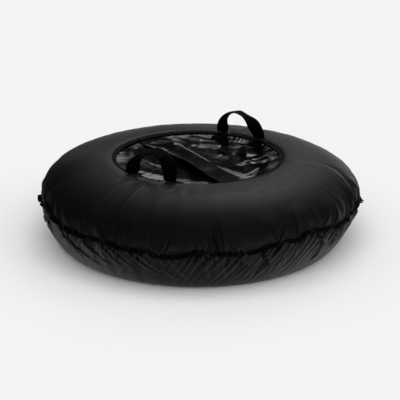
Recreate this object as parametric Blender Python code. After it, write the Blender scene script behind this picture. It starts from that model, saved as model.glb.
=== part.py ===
"""Snow tube: an air-filled rubber ring in a sewn cover, with a lap-over seat and two webbing handles.

Metres, +Z up. The origin is on the ground, under the middle of the ring. The handles stand at -X
(left) and +X (right). A column is one step of azimuth round the ring, counted from +X.
"""

import math
import random

import bmesh
import bpy
from mathutils import Matrix, Vector

# Outer shape of the sewn cover
SEAM_RADIUS = 0.490
SEAM_HEIGHT = 0.132
RING_RADIUS = 0.260
CREST_OUTSET = 0.030
CREST_HEIGHT = 0.2425
RING_DROP = 0.0035
CONTACT_INSET = 0.068
TOP_CURVE_EXPONENT = 2.02
BOTTOM_CURVE_EXPONENT = 1.35

# Sheet and tape thicknesses, and the clearance kept between pieces that touch
GAP = 0.0003
FABRIC = 0.0008
BASE_SHEET = 0.0008
SEAT_SHEET = 0.0007
BINDING_TAPE = 0.0010
BAND_TAPE = 0.0008
HEM_TAPE = 0.00035
WEBBING = 0.0015

# Gathered perimeter seam
GATHERS = 40
COLUMNS_PER_GATHER = 2
GATHER_DEPTH = 0.010
GATHER_LEAST_SHARE = 0.35
TOP_GATHER_RISE = 0.060
BOTTOM_GATHER_DROP = 0.090
SEAM_ALLOWANCE = 0.012
BINDING_INSET = 0.0006
DROOP_SLOPE = 0.43
RUFFLE_SLOPE = 0.22
GATHER_SEED = 11
TOP_STEPS = 8
BOTTOM_STEPS = 7

# Ring band and the dished seat inside it
BAND_WIDTH = 0.017
DISH_DEPTH = 0.0218
SEAT_INSET = 0.0012
SEAT_ROOM = 0.0006
LIP_START_ANGLE = math.radians(79)
LIP_END_ANGLE = math.radians(226)
SEAT_OVERLAP = 0.080
LIP_LIFT = 0.027
LIP_LIFT_EXPONENT = 1.3
LIP_BOW = 0.012
RIDGE_SETBACK = 0.067
RIDGE_FALL = 0.050
PANEL_CROWN = 0.010
SEAT_COLUMNS = 24
SEAT_ROW_SHARES = (0.0, 0.02, 0.04, 0.09, 0.16, 0.23, 0.31, 0.42, 0.60, 0.80, 1.0)
HEM_ROWS = 3
HEM_END_SHARE = 0.90

# Webbing handles
WEBBING_WIDTH = 0.040
LEG_SPACING = 0.134
HANDLE_HEIGHT = 0.085
HANDLE_CURVE_EXPONENT = 2.3
HANDLE_AXIS_RISE = 0.0020
TAIL_LENGTH = 0.044
TAIL_ROWS = 5
TAIL_COLUMNS = 4
TWIST_START_SHARE = 0.12
TWIST_END_SHARE = 0.85
HANDLE_STEPS = 28
LEFT_LEAN = math.radians(22)
RIGHT_LEAN = math.radians(13)
LEFT_CREST_TILT = math.radians(38)
RIGHT_CREST_TILT = math.radians(14)
LEFT_TURN = math.radians(-1.2)
RIGHT_TURN = math.radians(-4.8)

# Inner tube
HOLE_RADIUS = 0.100
HOLE_WALL_REACH = 0.100
TUBE_WALL = 0.0018
TUBE_SIDE_ROOM = 0.012
TUBE_SHOULDER_ROOM = 0.0010
TUBE_CONTACT_ROOM = 0.003
TUBE_INNER_TOP_EXPONENT = 1.45
TUBE_INNER_BOTTOM_EXPONENT = 2.0
TUBE_COLUMNS = 32
TUBE_STEPS = 4

# Valve on the tube's inner wall. Heights run out of the wall, along the stem
BASE_RADIUS = 0.013
BASE_RISE = 0.0035
BASE_DEPTH = 0.006
STEM_RADIUS = 0.0055
STEM_NECK_RADIUS = 0.0047
STEM_INNER_END = -0.005
STEM_TAPER_START = 0.007
STEM_OUTER_END = 0.0240
INSERT_BORE_RADIUS = 0.0026
INSERT_RADIUS = 0.0033
INSERT_INNER_END = 0.0020
THREAD_RADIUS = 0.00385
THREAD_END = 0.0345
CORE_RADIUS = 0.0023
CORE_INNER_END = 0.0240
CORE_OUTER_END = 0.0330
CORE_GUIDE_RADIUS = 0.0009
SPRING_CHAMBER_RADIUS = 0.00165
SPRING_CHAMBER_START = 0.0270
PIN_RADIUS = 0.0006
PIN_HEAD_RADIUS = 0.0019
PIN_HEAD_LENGTH = 0.0016
PIN_COLLAR_RADIUS = 0.0014
PIN_COLLAR_LENGTH = 0.0006
PIN_END = 0.0338
SPRING_WIRE_RADIUS = 0.00012
SPRING_TURNS = 4
SPRING_STEPS_PER_TURN = 10
CAP_CLEARANCE = 0.00035
CAP_WALL = 0.0010
CAP_TOP = 0.0015
CAP_SKIRT_START = 0.0255
CAP_SEAL_THICKNESS = 0.0010
CAP_SEAL_HOLE_RADIUS = 0.0013
TURNED_SIDES = 24
CORE_SIDES = 16
CUT_OVERRUN = 0.002

# Edges that turn by more than these stay sharp in the shading
SHEET_SHARP_ANGLE = math.radians(50)
STRAP_SHARP_ANGLE = math.radians(40)
TURNED_SHARP_ANGLE = math.radians(35)

# Sizes that follow from those above
COLUMNS = GATHERS * COLUMNS_PER_GATHER
HALF_GAP = GAP / 2
CREST_RADIUS = RING_RADIUS + CREST_OUTSET
RING_HEIGHT = CREST_HEIGHT - RING_DROP
CONTACT_RADIUS = SEAM_RADIUS - CONTACT_INSET
FLAT_MIDDLE_RADIUS = HOLE_RADIUS + HOLE_WALL_REACH
BAND_INNER_RADIUS = RING_RADIUS - BAND_WIDTH
SEAT_RADIUS = RING_RADIUS - SEAT_INSET
TAIL_DROP = BAND_TAPE + GAP
FLAP_DROP = TAIL_DROP + WEBBING + SEAT_ROOM
PANEL_DROP = FLAP_DROP + SEAT_SHEET + GAP + HEM_TAPE + GAP
SEAT_STACK = PANEL_DROP + SEAT_SHEET + GAP
HANDLE_AXIS_RADIUS = math.sqrt(RING_RADIUS**2 - (LEG_SPACING / 2) ** 2)
HANDLE_AXIS_HEIGHT = RING_HEIGHT + HANDLE_AXIS_RISE


def clear_scene():
    for old in list(bpy.data.objects):
        bpy.data.objects.remove(old, do_unlink=True)


def material(name, colour, roughness, metallic=0.0):
    made = bpy.data.materials.new(name)
    made.use_nodes = True
    shader = made.node_tree.nodes["Principled BSDF"]
    shader.inputs["Base Color"].default_value = (*colour, 1.0)
    shader.inputs["Roughness"].default_value = roughness
    shader.inputs["Metallic"].default_value = metallic
    made.diffuse_color = (*colour, 1.0)
    return made


def mesh_object(name, points, faces, finish, sharp_angle=SHEET_SHARP_ANGLE):
    mesh = bpy.data.meshes.new(name)
    mesh.from_pydata(points, [], faces)
    mesh.materials.append(finish)
    mesh.shade_smooth()
    mesh.set_sharp_from_angle(angle=sharp_angle)
    made = bpy.data.objects.new(name, mesh)
    bpy.context.scene.collection.objects.link(made)
    return made


def cut(target, cutter):
    cutter.hide_render = True
    cutter.display_type = "WIRE"
    difference = target.modifiers.new("cut_" + cutter.name, "BOOLEAN")
    difference.operation = "DIFFERENCE"
    difference.solver = "EXACT"
    difference.object = cutter


def smoothstep(value):
    value = min(max(value, 0.0), 1.0)
    return value * value * (3 - 2 * value)


# The cover's outline, as (radius, height) points


def arc_points(middle, reach, exponent, start, end, steps):
    """Points of one quarter of a rounded outline. Angle 0 is at +radius, 90 degrees at +height."""
    points = []
    for step in range(steps + 1):
        angle = start + (end - start) * step / steps
        across = abs(math.cos(angle)) ** (2 / exponent) * math.copysign(1, math.cos(angle))
        up = abs(math.sin(angle)) ** (2 / exponent) * math.copysign(1, math.sin(angle))
        points.append((middle[0] + reach[0] * across, middle[1] + reach[1] * up))
    return points


def surface_height(radius):
    """Height of the finished top surface, from the middle of the seat to the crest."""
    if radius <= RING_RADIUS:
        return RING_HEIGHT - DISH_DEPTH * (1 - (radius / RING_RADIUS) ** 2)
    share = (CREST_RADIUS - radius) / CREST_OUTSET
    return CREST_HEIGHT - RING_DROP * share**2


def offset_path(points, depth):
    """The path moved to its right-hand side, seen with radius to the right and height up."""
    moved = []
    for index, (radius, height) in enumerate(points):
        normals = []
        for first, last in ((index - 1, index), (index, index + 1)):
            if first < 0 or last >= len(points):
                continue
            run = Vector(points[last]) - Vector(points[first])
            normals.append(Vector((run.y, -run.x)).normalized())
        normal = sum(normals, Vector((0, 0))).normalized()
        reach = depth / normal.dot(normals[0])
        moved.append((radius + normal.x * reach, height + normal.y * reach))
    return moved


def top_path():
    """The top cover's outer face, from the ring seam outward to the edge of the seam allowance."""
    lip_height = SEAM_HEIGHT + HALF_GAP + FABRIC
    middle_radius = (RING_RADIUS + CREST_RADIUS) / 2
    path = [(RING_RADIUS, RING_HEIGHT), (middle_radius, surface_height(middle_radius))]
    reach = (SEAM_RADIUS - CREST_RADIUS, CREST_HEIGHT - SEAM_HEIGHT)
    middle = (CREST_RADIUS, SEAM_HEIGHT)
    path += arc_points(middle, reach, TOP_CURVE_EXPONENT, math.pi / 2, 0, TOP_STEPS)[:-1]
    path += [(SEAM_RADIUS, lip_height), (SEAM_RADIUS + SEAM_ALLOWANCE, lip_height)]
    return path


def bottom_path():
    """The bottom cover's outer face, from the seam allowance down to the ground and the middle."""
    lip_height = SEAM_HEIGHT - HALF_GAP - BASE_SHEET
    path = [(SEAM_RADIUS + SEAM_ALLOWANCE, lip_height), (SEAM_RADIUS, lip_height)]
    reach = (SEAM_RADIUS - CONTACT_RADIUS, SEAM_HEIGHT)
    middle = (CONTACT_RADIUS, SEAM_HEIGHT)
    path += arc_points(middle, reach, BOTTOM_CURVE_EXPONENT, 0, -math.pi / 2, BOTTOM_STEPS)[1:]
    path += [(FLAT_MIDDLE_RADIUS, 0.0), (0.0, 0.0)]
    return path


# Gathers: every other column is drawn in, by an amount that changes from one to the next


def gather_pattern():
    rolls = random.Random(GATHER_SEED)
    pulls = []
    slopes = []
    for column in range(COLUMNS):
        drawn_in = column % COLUMNS_PER_GATHER
        strength = rolls.uniform(GATHER_LEAST_SHARE, 1.0)
        pulls.append(drawn_in * strength * GATHER_DEPTH)
        slopes.append(DROOP_SLOPE + RUFFLE_SLOPE * (rolls.random() - drawn_in))
    return pulls, slopes


PULLS, SLOPES = gather_pattern()


def gathered(column, radius, height):
    """The place of an outline's point in one column, once the seam is gathered and droops."""
    above = height - SEAM_HEIGHT
    reach = TOP_GATHER_RISE if above > 0 else BOTTOM_GATHER_DROP
    fade = max(0.0, 1 - abs(above) / reach) ** 2
    droop = max(0.0, radius - SEAM_RADIUS) * SLOPES[column % COLUMNS]
    azimuth = math.tau * column / COLUMNS
    drawn = radius - PULLS[column % COLUMNS] * fade
    return (drawn * math.cos(azimuth), drawn * math.sin(azimuth), height - droop)


def ungathered(column, radius, height):
    """A place in a column, clear of the gathers."""
    azimuth = math.tau * column / COLUMNS
    return (radius * math.cos(azimuth), radius * math.sin(azimuth), height)


def shell_faces(rows, columns, closed, rising=None):
    """Faces of a sheet whose front points come first, row by row in each column, then its back ones.

    rising says of each row whether the next one lies further out. Sheets that lie on each other then
    get the same diagonals, so that their facets nest.
    """
    back = rows * columns
    last = columns if closed else columns - 1
    faces = []
    for column in range(last):
        here = column * rows
        there = (column + 1) % columns * rows
        for row in range(rows - 1):
            corners = [here + row, there + row, there + row + 1, here + row + 1]
            if rising and not rising[row]:
                corners = corners[1:] + corners[:1]
            for front in ((corners[0], corners[1], corners[2]), (corners[0], corners[2], corners[3])):
                faces.append(front)
                faces.append(tuple(back + index for index in reversed(front)))
        top, bottom = 0, rows - 1
        faces.append((here + top, back + here + top, back + there + top, there + top))
        faces.append((here + bottom, there + bottom, back + there + bottom, back + here + bottom))
    if not closed:
        end = (columns - 1) * rows
        for row in range(rows - 1):
            faces.append((row, row + 1, back + row + 1, back + row))
            faces.append((end + row, back + end + row, back + end + row + 1, end + row + 1))
    return faces


def swept_sheet(name, front, back, columns, place, finish, closed):
    """A sheet swept round the ring, between a front outline and a back one of as many points."""
    points = []
    for outline in (front, back):
        for column in columns:
            points += [place(column, radius, height) for radius, height in outline]
    rising = [first[0] <= after[0] for first, after in zip(front, front[1:])]
    faces = shell_faces(len(front), len(columns), closed, rising)
    sheet = mesh_object(name, points, faces, finish)
    fix_normals(sheet)
    return sheet


def top_cover(name, first_column, side, finish):
    """One half of the top cover. Its ends stand a half clearance off the XZ plane."""
    front = top_path()
    back = offset_path(front, FABRIC)
    columns = list(range(first_column, first_column + COLUMNS // 2 + 1))
    ends = (columns[0], columns[-1])

    def place(column, radius, height):
        x, y, z = gathered(column, radius, height)
        return (x, side * HALF_GAP, z) if column in ends else (x, y, z)

    return swept_sheet(name, front, back, columns, place, finish, False)


def bottom_cover(finish):
    """The gathered wall and flat base, in one sheet. Its middle is one point on each face."""
    front = bottom_path()
    back = offset_path(front, BASE_SHEET)
    cover = swept_sheet("bottom_cover", front, back, range(COLUMNS), gathered, finish, True)
    join_poles(cover)
    return cover


def join_poles(target):
    """Joins the points that lie in one place on the axis, and drops the faces that closed up."""
    bm = bmesh.new()
    bm.from_mesh(target.data)
    on_axis = [vert for vert in bm.verts if vert.co.xy.length < GAP]
    bmesh.ops.remove_doubles(bm, verts=on_axis, dist=HALF_GAP)
    bmesh.ops.recalc_face_normals(bm, faces=bm.faces)
    bm.to_mesh(target.data)
    bm.free()


def perimeter_binding(finish):
    """Tape folded over the two seam allowances."""
    inner = SEAM_RADIUS + BINDING_INSET
    web = SEAM_RADIUS + SEAM_ALLOWANCE + GAP
    top = SEAM_HEIGHT + HALF_GAP + FABRIC + GAP
    bottom = SEAM_HEIGHT - HALF_GAP - BASE_SHEET - GAP
    outer = web + BINDING_TAPE
    front = [
        (inner, top + BINDING_TAPE),
        (outer, top + BINDING_TAPE),
        (outer, bottom - BINDING_TAPE),
        (inner, bottom - BINDING_TAPE),
    ]
    back = [(inner, top), (web, top), (web, bottom), (inner, bottom)]
    return swept_sheet("perimeter_binding", front, back, range(COLUMNS), gathered, finish, True)


def ring_band(finish):
    outer = RING_RADIUS - GAP
    radii = [BAND_INNER_RADIUS, (BAND_INNER_RADIUS + outer) / 2, outer]
    front = [(radius, surface_height(radius)) for radius in radii]
    back = [(radius, height - BAND_TAPE) for radius, height in front]
    return swept_sheet("ring_band", front, back, range(COLUMNS), ungathered, finish, True)


# Seat: two sheets, each a disc cut along a straight edge, lapped over each other

LIP_NORMAL_ANGLE = (LIP_START_ANGLE + LIP_END_ANGLE) / 2
LIP_HALF_ANGLE = (LIP_END_ANGLE - LIP_START_ANGLE) / 2
LIP_DISTANCE = SEAT_RADIUS * math.cos(LIP_HALF_ANGLE)
LIP_HALF_LENGTH = SEAT_RADIUS * math.sin(LIP_HALF_ANGLE)
PANEL_EDGE_DISTANCE = LIP_DISTANCE - SEAT_OVERLAP


def seat_place(distance, outward, bow, across_share, depth_share):
    """A point of a seat sheet: from its straight edge (depth 0) to its round edge (depth 1).

    bow draws the middle of the straight edge back, towards the flap's round edge.
    """
    half_angle = math.acos(distance / SEAT_RADIUS)
    round_angle = half_angle if outward > 0 else math.pi - half_angle
    turn = across_share * round_angle
    drawn_back = bow * math.cos(across_share * math.pi / 2)
    straight = Vector((distance - drawn_back, SEAT_RADIUS * math.sin(half_angle) * across_share))
    curved = Vector((outward * SEAT_RADIUS * math.cos(turn), SEAT_RADIUS * math.sin(turn)))
    flat = straight.lerp(curved, depth_share)
    flat.rotate(Matrix.Rotation(LIP_NORMAL_ANGLE, 2))
    return flat


def flap_height(place):
    """The flap stands up from its lip to a ridge behind it, and falls from there to the dish."""
    turned = place.copy()
    turned.rotate(Matrix.Rotation(-LIP_NORMAL_ANGLE, 2))
    along_share = min(1.0, abs(turned.y) / LIP_HALF_LENGTH)
    lift = LIP_LIFT * max(0.0, math.cos(along_share * math.pi / 2)) ** LIP_LIFT_EXPONENT
    behind = LIP_DISTANCE - turned.x
    fade = 1 - smoothstep((behind - RIDGE_SETBACK) / RIDGE_FALL)
    return surface_height(place.length) - FLAP_DROP + lift * fade


def panel_height(place):
    """The panel lies in the dish, crowned towards the middle."""
    crown = PANEL_CROWN * (1 - (place.length / SEAT_RADIUS) ** 2) ** 2
    return surface_height(place.length) - PANEL_DROP + crown


def seat_sheet(name, distance, outward, bow, height_of, finish):
    """One seat sheet. Its straight and round edges meet in a point at each end."""
    points = []
    rows = len(SEAT_ROW_SHARES)
    steps = range(1, SEAT_COLUMNS)
    for drop in (0, SEAT_SHEET):
        for step in steps:
            across = 2 * step / SEAT_COLUMNS - 1
            for depth in SEAT_ROW_SHARES:
                flat = seat_place(distance, outward, bow, across, depth)
                points.append((flat.x, flat.y, height_of(flat) - drop))
    faces = shell_faces(rows, len(steps), False)
    inner = [face for face in faces if not joins_ends(face, rows, len(steps))]
    for across, column in ((-1, 0), (1, len(steps) - 1)):
        inner += tip_faces(points, distance, outward, bow, across, column, height_of)
    made = mesh_object(name, points, inner, finish)
    fix_normals(made)
    return made


def joins_ends(face, rows, columns):
    """Whether a face lies whole in the first or the last column, where a tip goes instead."""
    back = rows * columns
    held = {index % back // rows for index in face}
    return len(held) == 1


def tip_faces(points, distance, outward, bow, across, column, height_of):
    """The pointed end of a seat sheet: a front and a back point, fanned to the end column."""
    rows = len(SEAT_ROW_SHARES)
    back = rows * (SEAT_COLUMNS - 1)
    flat = seat_place(distance, outward, bow, across, 0)
    height = height_of(flat)
    tip = len(points)
    points.append((flat.x, flat.y, height))
    points.append((flat.x, flat.y, height - SEAT_SHEET))
    first = column * rows
    faces = []
    for row in range(rows - 1):
        faces.append((tip, first + row, first + row + 1))
        faces.append((tip + 1, back + first + row + 1, back + first + row))
    for row in (0, rows - 1):
        faces.append((tip, tip + 1, back + first + row, first + row))
    return faces


def fix_normals(target):
    bm = bmesh.new()
    bm.from_mesh(target.data)
    bmesh.ops.recalc_face_normals(bm, faces=bm.faces)
    bm.to_mesh(target.data)
    bm.free()


def hem_tape(name, distance, outward, bow, height_of, finish):
    """Tape under a seat sheet's straight edge, in step with the sheet's own rows and columns."""
    reach = HEM_END_SHARE * SEAT_COLUMNS / 2
    middle = SEAT_COLUMNS / 2
    steps = [step for step in range(1, SEAT_COLUMNS) if abs(step - middle) <= reach]
    shares = SEAT_ROW_SHARES[:HEM_ROWS]
    points = []
    for drop in (SEAT_SHEET + GAP, SEAT_SHEET + GAP + HEM_TAPE):
        for step in steps:
            across = 2 * step / SEAT_COLUMNS - 1
            for depth in shares:
                flat = seat_place(distance, outward, bow, across, depth)
                points.append((flat.x, flat.y, height_of(flat) - drop))
    made = mesh_object(name, points, shell_faces(len(shares), len(steps), False), finish)
    fix_normals(made)
    return made


# Handles


def handle_loop(name, side, lean, tilt, turn, finish):
    """The free loop of one handle: legs that face the seat, twisting to lie face up at the crest.

    turn is how far round the ring it sits from the X axis.
    """
    tips = []
    path = []
    for step in range(HANDLE_STEPS + 1):
        angle = math.pi * step / HANDLE_STEPS
        across = abs(math.cos(angle)) ** (2 / HANDLE_CURVE_EXPONENT) * math.copysign(1, math.cos(angle))
        up = math.sin(angle) ** (2 / HANDLE_CURVE_EXPONENT) if 0 < step < HANDLE_STEPS else 0.0
        path.append(Vector((0, -LEG_SPACING / 2 * across, HANDLE_HEIGHT * up)))
    for step, place in enumerate(path):
        before = path[max(step - 1, 0)]
        after = path[min(step + 1, HANDLE_STEPS)]
        run = (after - before).normalized() if 0 < step < HANDLE_STEPS else Vector((0, 0, 1))
        if step == HANDLE_STEPS:
            run = Vector((0, 0, -1))
        reach = 1 - abs(2 * step / HANDLE_STEPS - 1)
        twist = smoothstep((reach - TWIST_START_SHARE) / (TWIST_END_SHARE - TWIST_START_SHARE))
        edge = Vector((0, math.copysign(1, step - HANDLE_STEPS / 2), 0))
        crest = Vector((-side * math.cos(tilt), 0, math.sin(tilt)))
        width = edge * math.cos(twist * math.pi / 2) + crest * math.sin(twist * math.pi / 2)
        width = (width - run * width.dot(run)).normalized() * WEBBING_WIDTH / 2
        face = run.cross(width).normalized() * WEBBING / 2
        tips += [place + width + face, place - width + face, place - width - face, place + width - face]
    faces = [(3, 2, 1, 0)]
    for step in range(HANDLE_STEPS):
        here, there = 4 * step, 4 * (step + 1)
        for corner in range(4):
            after = (corner + 1) % 4
            faces.append((here + corner, here + after, there + after, there + corner))
    end = 4 * HANDLE_STEPS
    faces.append((end, end + 1, end + 2, end + 3))
    made = mesh_object(name, [tuple(tip) for tip in tips], faces, finish, STRAP_SHARP_ANGLE)
    fix_normals(made)
    reach = side * HANDLE_AXIS_RADIUS
    made.location = (reach * math.cos(turn), reach * math.sin(turn), HANDLE_AXIS_HEIGHT)
    made.rotation_euler = (0, -side * lean, turn)
    return made


def handle_tail(name, side, end, turn, finish):
    """The sewn end of one leg, flat between the ring band and the seat sheet."""
    points = []
    for drop in (TAIL_DROP, TAIL_DROP + WEBBING):
        for column in range(TAIL_COLUMNS):
            y = end * LEG_SPACING / 2 + WEBBING_WIDTH * (column / (TAIL_COLUMNS - 1) - 0.5)
            for row in range(TAIL_ROWS):
                x = HANDLE_AXIS_RADIUS - TAIL_LENGTH * row / (TAIL_ROWS - 1)
                points.append((side * x, y, surface_height(math.hypot(x, y)) - drop))
    made = mesh_object(name, points, shell_faces(TAIL_ROWS, TAIL_COLUMNS, False), finish)
    fix_normals(made)
    made.rotation_euler = (0, 0, turn)
    return made


# Inner tube and its valve


def tube_outline(grow):
    """The tube's closed section, as (radius, height) points. grow moves its skin outward."""
    middle = SEAM_HEIGHT
    top = CREST_HEIGHT - SEAT_STACK - TUBE_SHOULDER_ROOM - middle + grow
    bottom = middle - BASE_SHEET - GAP + grow
    side_reach = SEAM_RADIUS - TUBE_SIDE_ROOM + grow
    hole = HOLE_RADIUS - grow
    contact = CONTACT_RADIUS - TUBE_CONTACT_ROOM
    quarter = math.pi / 2
    corners = (
        (CREST_RADIUS, side_reach - CREST_RADIUS, top, TOP_CURVE_EXPONENT, 0),
        (CREST_RADIUS, CREST_RADIUS - hole, top, TUBE_INNER_TOP_EXPONENT, 1),
        (FLAT_MIDDLE_RADIUS, FLAT_MIDDLE_RADIUS - hole, bottom, TUBE_INNER_BOTTOM_EXPONENT, 2),
        (contact, side_reach - contact, bottom, BOTTOM_CURVE_EXPONENT, 3),
    )
    outline = []
    for radius, across, up, exponent, turn in corners:
        start = turn * quarter
        arc = arc_points((radius, middle), (across, up), exponent, start, start + quarter, TUBE_STEPS)
        outline += arc if turn == 2 else arc[:-1]
    return without_repeats(outline)


def without_repeats(outline):
    kept = []
    for point in outline:
        if not kept or math.dist(point, kept[-1]) > GAP:
            kept.append(point)
    return kept


def ring_mesh(outline, columns):
    """Points and outward faces of a closed outline carried round the ring."""
    points = []
    for column in range(columns):
        azimuth = math.tau * column / columns
        for radius, height in outline:
            points.append((radius * math.cos(azimuth), radius * math.sin(azimuth), height))
    count = len(outline)
    faces = []
    for column in range(columns):
        here, there = column * count, (column + 1) % columns * count
        for row in range(count):
            after = (row + 1) % count
            faces.append((here + row, there + row, there + after, here + after))
    return points, faces


def inner_tube(finish, port):
    outer, skin = ring_mesh(tube_outline(0.0), TUBE_COLUMNS)
    inner, lining = ring_mesh(tube_outline(-TUBE_WALL), TUBE_COLUMNS)
    shift = len(outer)
    lining = [tuple(shift + index for index in reversed(face)) for face in lining]
    tube = mesh_object("inner_tube", outer + inner, skin + lining, finish)
    cut(tube, port)
    return tube


def turned(name, outline, finish, sides=TURNED_SIDES, closed=True):
    """An outline of (radius, height) points turned round the valve's axis. Points on the axis are poles."""
    points = []
    rings = []
    for radius, height in outline:
        count = sides if radius > 0 else 1
        rings.append([len(points) + index for index in range(count)])
        for index in range(count):
            angle = math.tau * index / sides
            points.append((radius * math.cos(angle), radius * math.sin(angle), height))
    pairs = list(zip(rings, rings[1:]))
    if closed:
        pairs.append((rings[-1], rings[0]))
    faces = []
    for low, high in pairs:
        for index in range(sides):
            after = (index + 1) % sides
            corners = [low[index % len(low)], low[after % len(low)]]
            corners += [high[after % len(high)], high[index % len(high)]]
            distinct = list(dict.fromkeys(corners))
            if len(distinct) > 2:
                faces.append(tuple(distinct))
    made = mesh_object(name, points, faces, finish, TURNED_SHARP_ANGLE)
    fix_normals(made)
    made.location = (0, HOLE_RADIUS, SEAM_HEIGHT)
    made.rotation_euler = (math.pi / 2, 0, 0)
    return made


def rod(name, radius, start, end, finish):
    outline = [(0, start), (radius, start), (radius, end), (0, end)]
    return turned(name, outline, finish, closed=False)


def tube_skin_cutter(finish):
    """The tube's skin with the clearance added, which gives the valve's base its curved back."""
    points, faces = ring_mesh(tube_outline(GAP), TUBE_COLUMNS)
    return mesh_object("cut_tube_skin", points, faces, finish)


def valve(rubber, brass, steel, plastic):
    base = rod("valve_base", BASE_RADIUS, -BASE_DEPTH, BASE_RISE, rubber)
    cut(base, tube_skin_cutter(rubber))
    bore_start, bore_end = -BASE_DEPTH - CUT_OVERRUN, BASE_RISE + CUT_OVERRUN
    cut(base, rod("cut_base_bore", STEM_RADIUS + GAP, bore_start, bore_end, rubber))
    bore = INSERT_RADIUS + GAP
    turned(
        "valve_stem",
        [
            (bore, STEM_INNER_END),
            (STEM_RADIUS, STEM_INNER_END),
            (STEM_RADIUS, STEM_TAPER_START),
            (STEM_NECK_RADIUS, STEM_OUTER_END),
            (bore, STEM_OUTER_END),
        ],
        rubber,
    )
    turned(
        "valve_insert",
        [
            (INSERT_BORE_RADIUS, INSERT_INNER_END),
            (INSERT_RADIUS, INSERT_INNER_END),
            (INSERT_RADIUS, STEM_OUTER_END + GAP),
            (THREAD_RADIUS, STEM_OUTER_END + GAP),
            (THREAD_RADIUS, THREAD_END),
            (INSERT_BORE_RADIUS, THREAD_END),
        ],
        brass,
    )
    turned(
        "valve_core_body",
        [
            (CORE_GUIDE_RADIUS, CORE_INNER_END),
            (CORE_RADIUS, CORE_INNER_END),
            (CORE_RADIUS, CORE_OUTER_END),
            (SPRING_CHAMBER_RADIUS, CORE_OUTER_END),
            (SPRING_CHAMBER_RADIUS, SPRING_CHAMBER_START),
            (CORE_GUIDE_RADIUS, SPRING_CHAMBER_START),
        ],
        brass,
        CORE_SIDES,
    )
    valve_core_pin(steel)
    valve_core_spring(steel)
    valve_cap(plastic)
    valve_cap_seal(rubber)


def valve_core_pin(finish):
    head_top = CORE_INNER_END - GAP
    collar_bottom = CORE_OUTER_END - PIN_COLLAR_LENGTH
    turned(
        "valve_core_pin",
        [
            (0, head_top - PIN_HEAD_LENGTH),
            (PIN_HEAD_RADIUS, head_top - PIN_HEAD_LENGTH),
            (PIN_HEAD_RADIUS, head_top),
            (PIN_RADIUS, head_top),
            (PIN_RADIUS, collar_bottom),
            (PIN_COLLAR_RADIUS, collar_bottom),
            (PIN_COLLAR_RADIUS, CORE_OUTER_END),
            (PIN_RADIUS, CORE_OUTER_END),
            (PIN_RADIUS, PIN_END),
            (0, PIN_END),
        ],
        finish,
        CORE_SIDES,
        closed=False,
    )


def valve_core_spring(finish):
    """The coil between the core's shoulder and the pin's collar."""
    low = SPRING_CHAMBER_START + GAP + SPRING_WIRE_RADIUS
    high = CORE_OUTER_END - PIN_COLLAR_LENGTH - GAP - SPRING_WIRE_RADIUS
    radius = (PIN_RADIUS + SPRING_CHAMBER_RADIUS) / 2
    steps = SPRING_STEPS_PER_TURN * SPRING_TURNS
    curve = bpy.data.curves.new("valve_core_spring", "CURVE")
    curve.dimensions = "3D"
    curve.bevel_depth = SPRING_WIRE_RADIUS
    curve.bevel_resolution = 1
    curve.use_fill_caps = True
    spline = curve.splines.new("POLY")
    spline.points.add(steps)
    for step in range(steps + 1):
        angle = math.tau * step / SPRING_STEPS_PER_TURN
        height = low + (high - low) * step / steps
        spline.points[step].co = (radius * math.cos(angle), radius * math.sin(angle), height, 1)
    curve.materials.append(finish)
    made = bpy.data.objects.new("valve_core_spring", curve)
    made.location = (0, HOLE_RADIUS, SEAM_HEIGHT)
    made.rotation_euler = (math.pi / 2, 0, 0)
    bpy.context.scene.collection.objects.link(made)


def valve_cap(finish):
    inside = THREAD_RADIUS + CAP_CLEARANCE
    ceiling = THREAD_END + GAP + CAP_SEAL_THICKNESS + GAP
    outside = inside + CAP_WALL
    turned(
        "valve_cap",
        [
            (inside, CAP_SKIRT_START),
            (outside, CAP_SKIRT_START),
            (outside, ceiling + CAP_TOP / 2),
            (outside - CAP_WALL / 2, ceiling + CAP_TOP),
            (0, ceiling + CAP_TOP),
            (0, ceiling),
            (inside, ceiling),
        ],
        finish,
    )


def valve_cap_seal(finish):
    start = THREAD_END + GAP
    end = start + CAP_SEAL_THICKNESS
    outline = [
        (CAP_SEAL_HOLE_RADIUS, start),
        (THREAD_RADIUS, start),
        (THREAD_RADIUS, end),
        (CAP_SEAL_HOLE_RADIUS, end),
    ]
    turned("valve_cap_seal", outline, finish)


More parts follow.
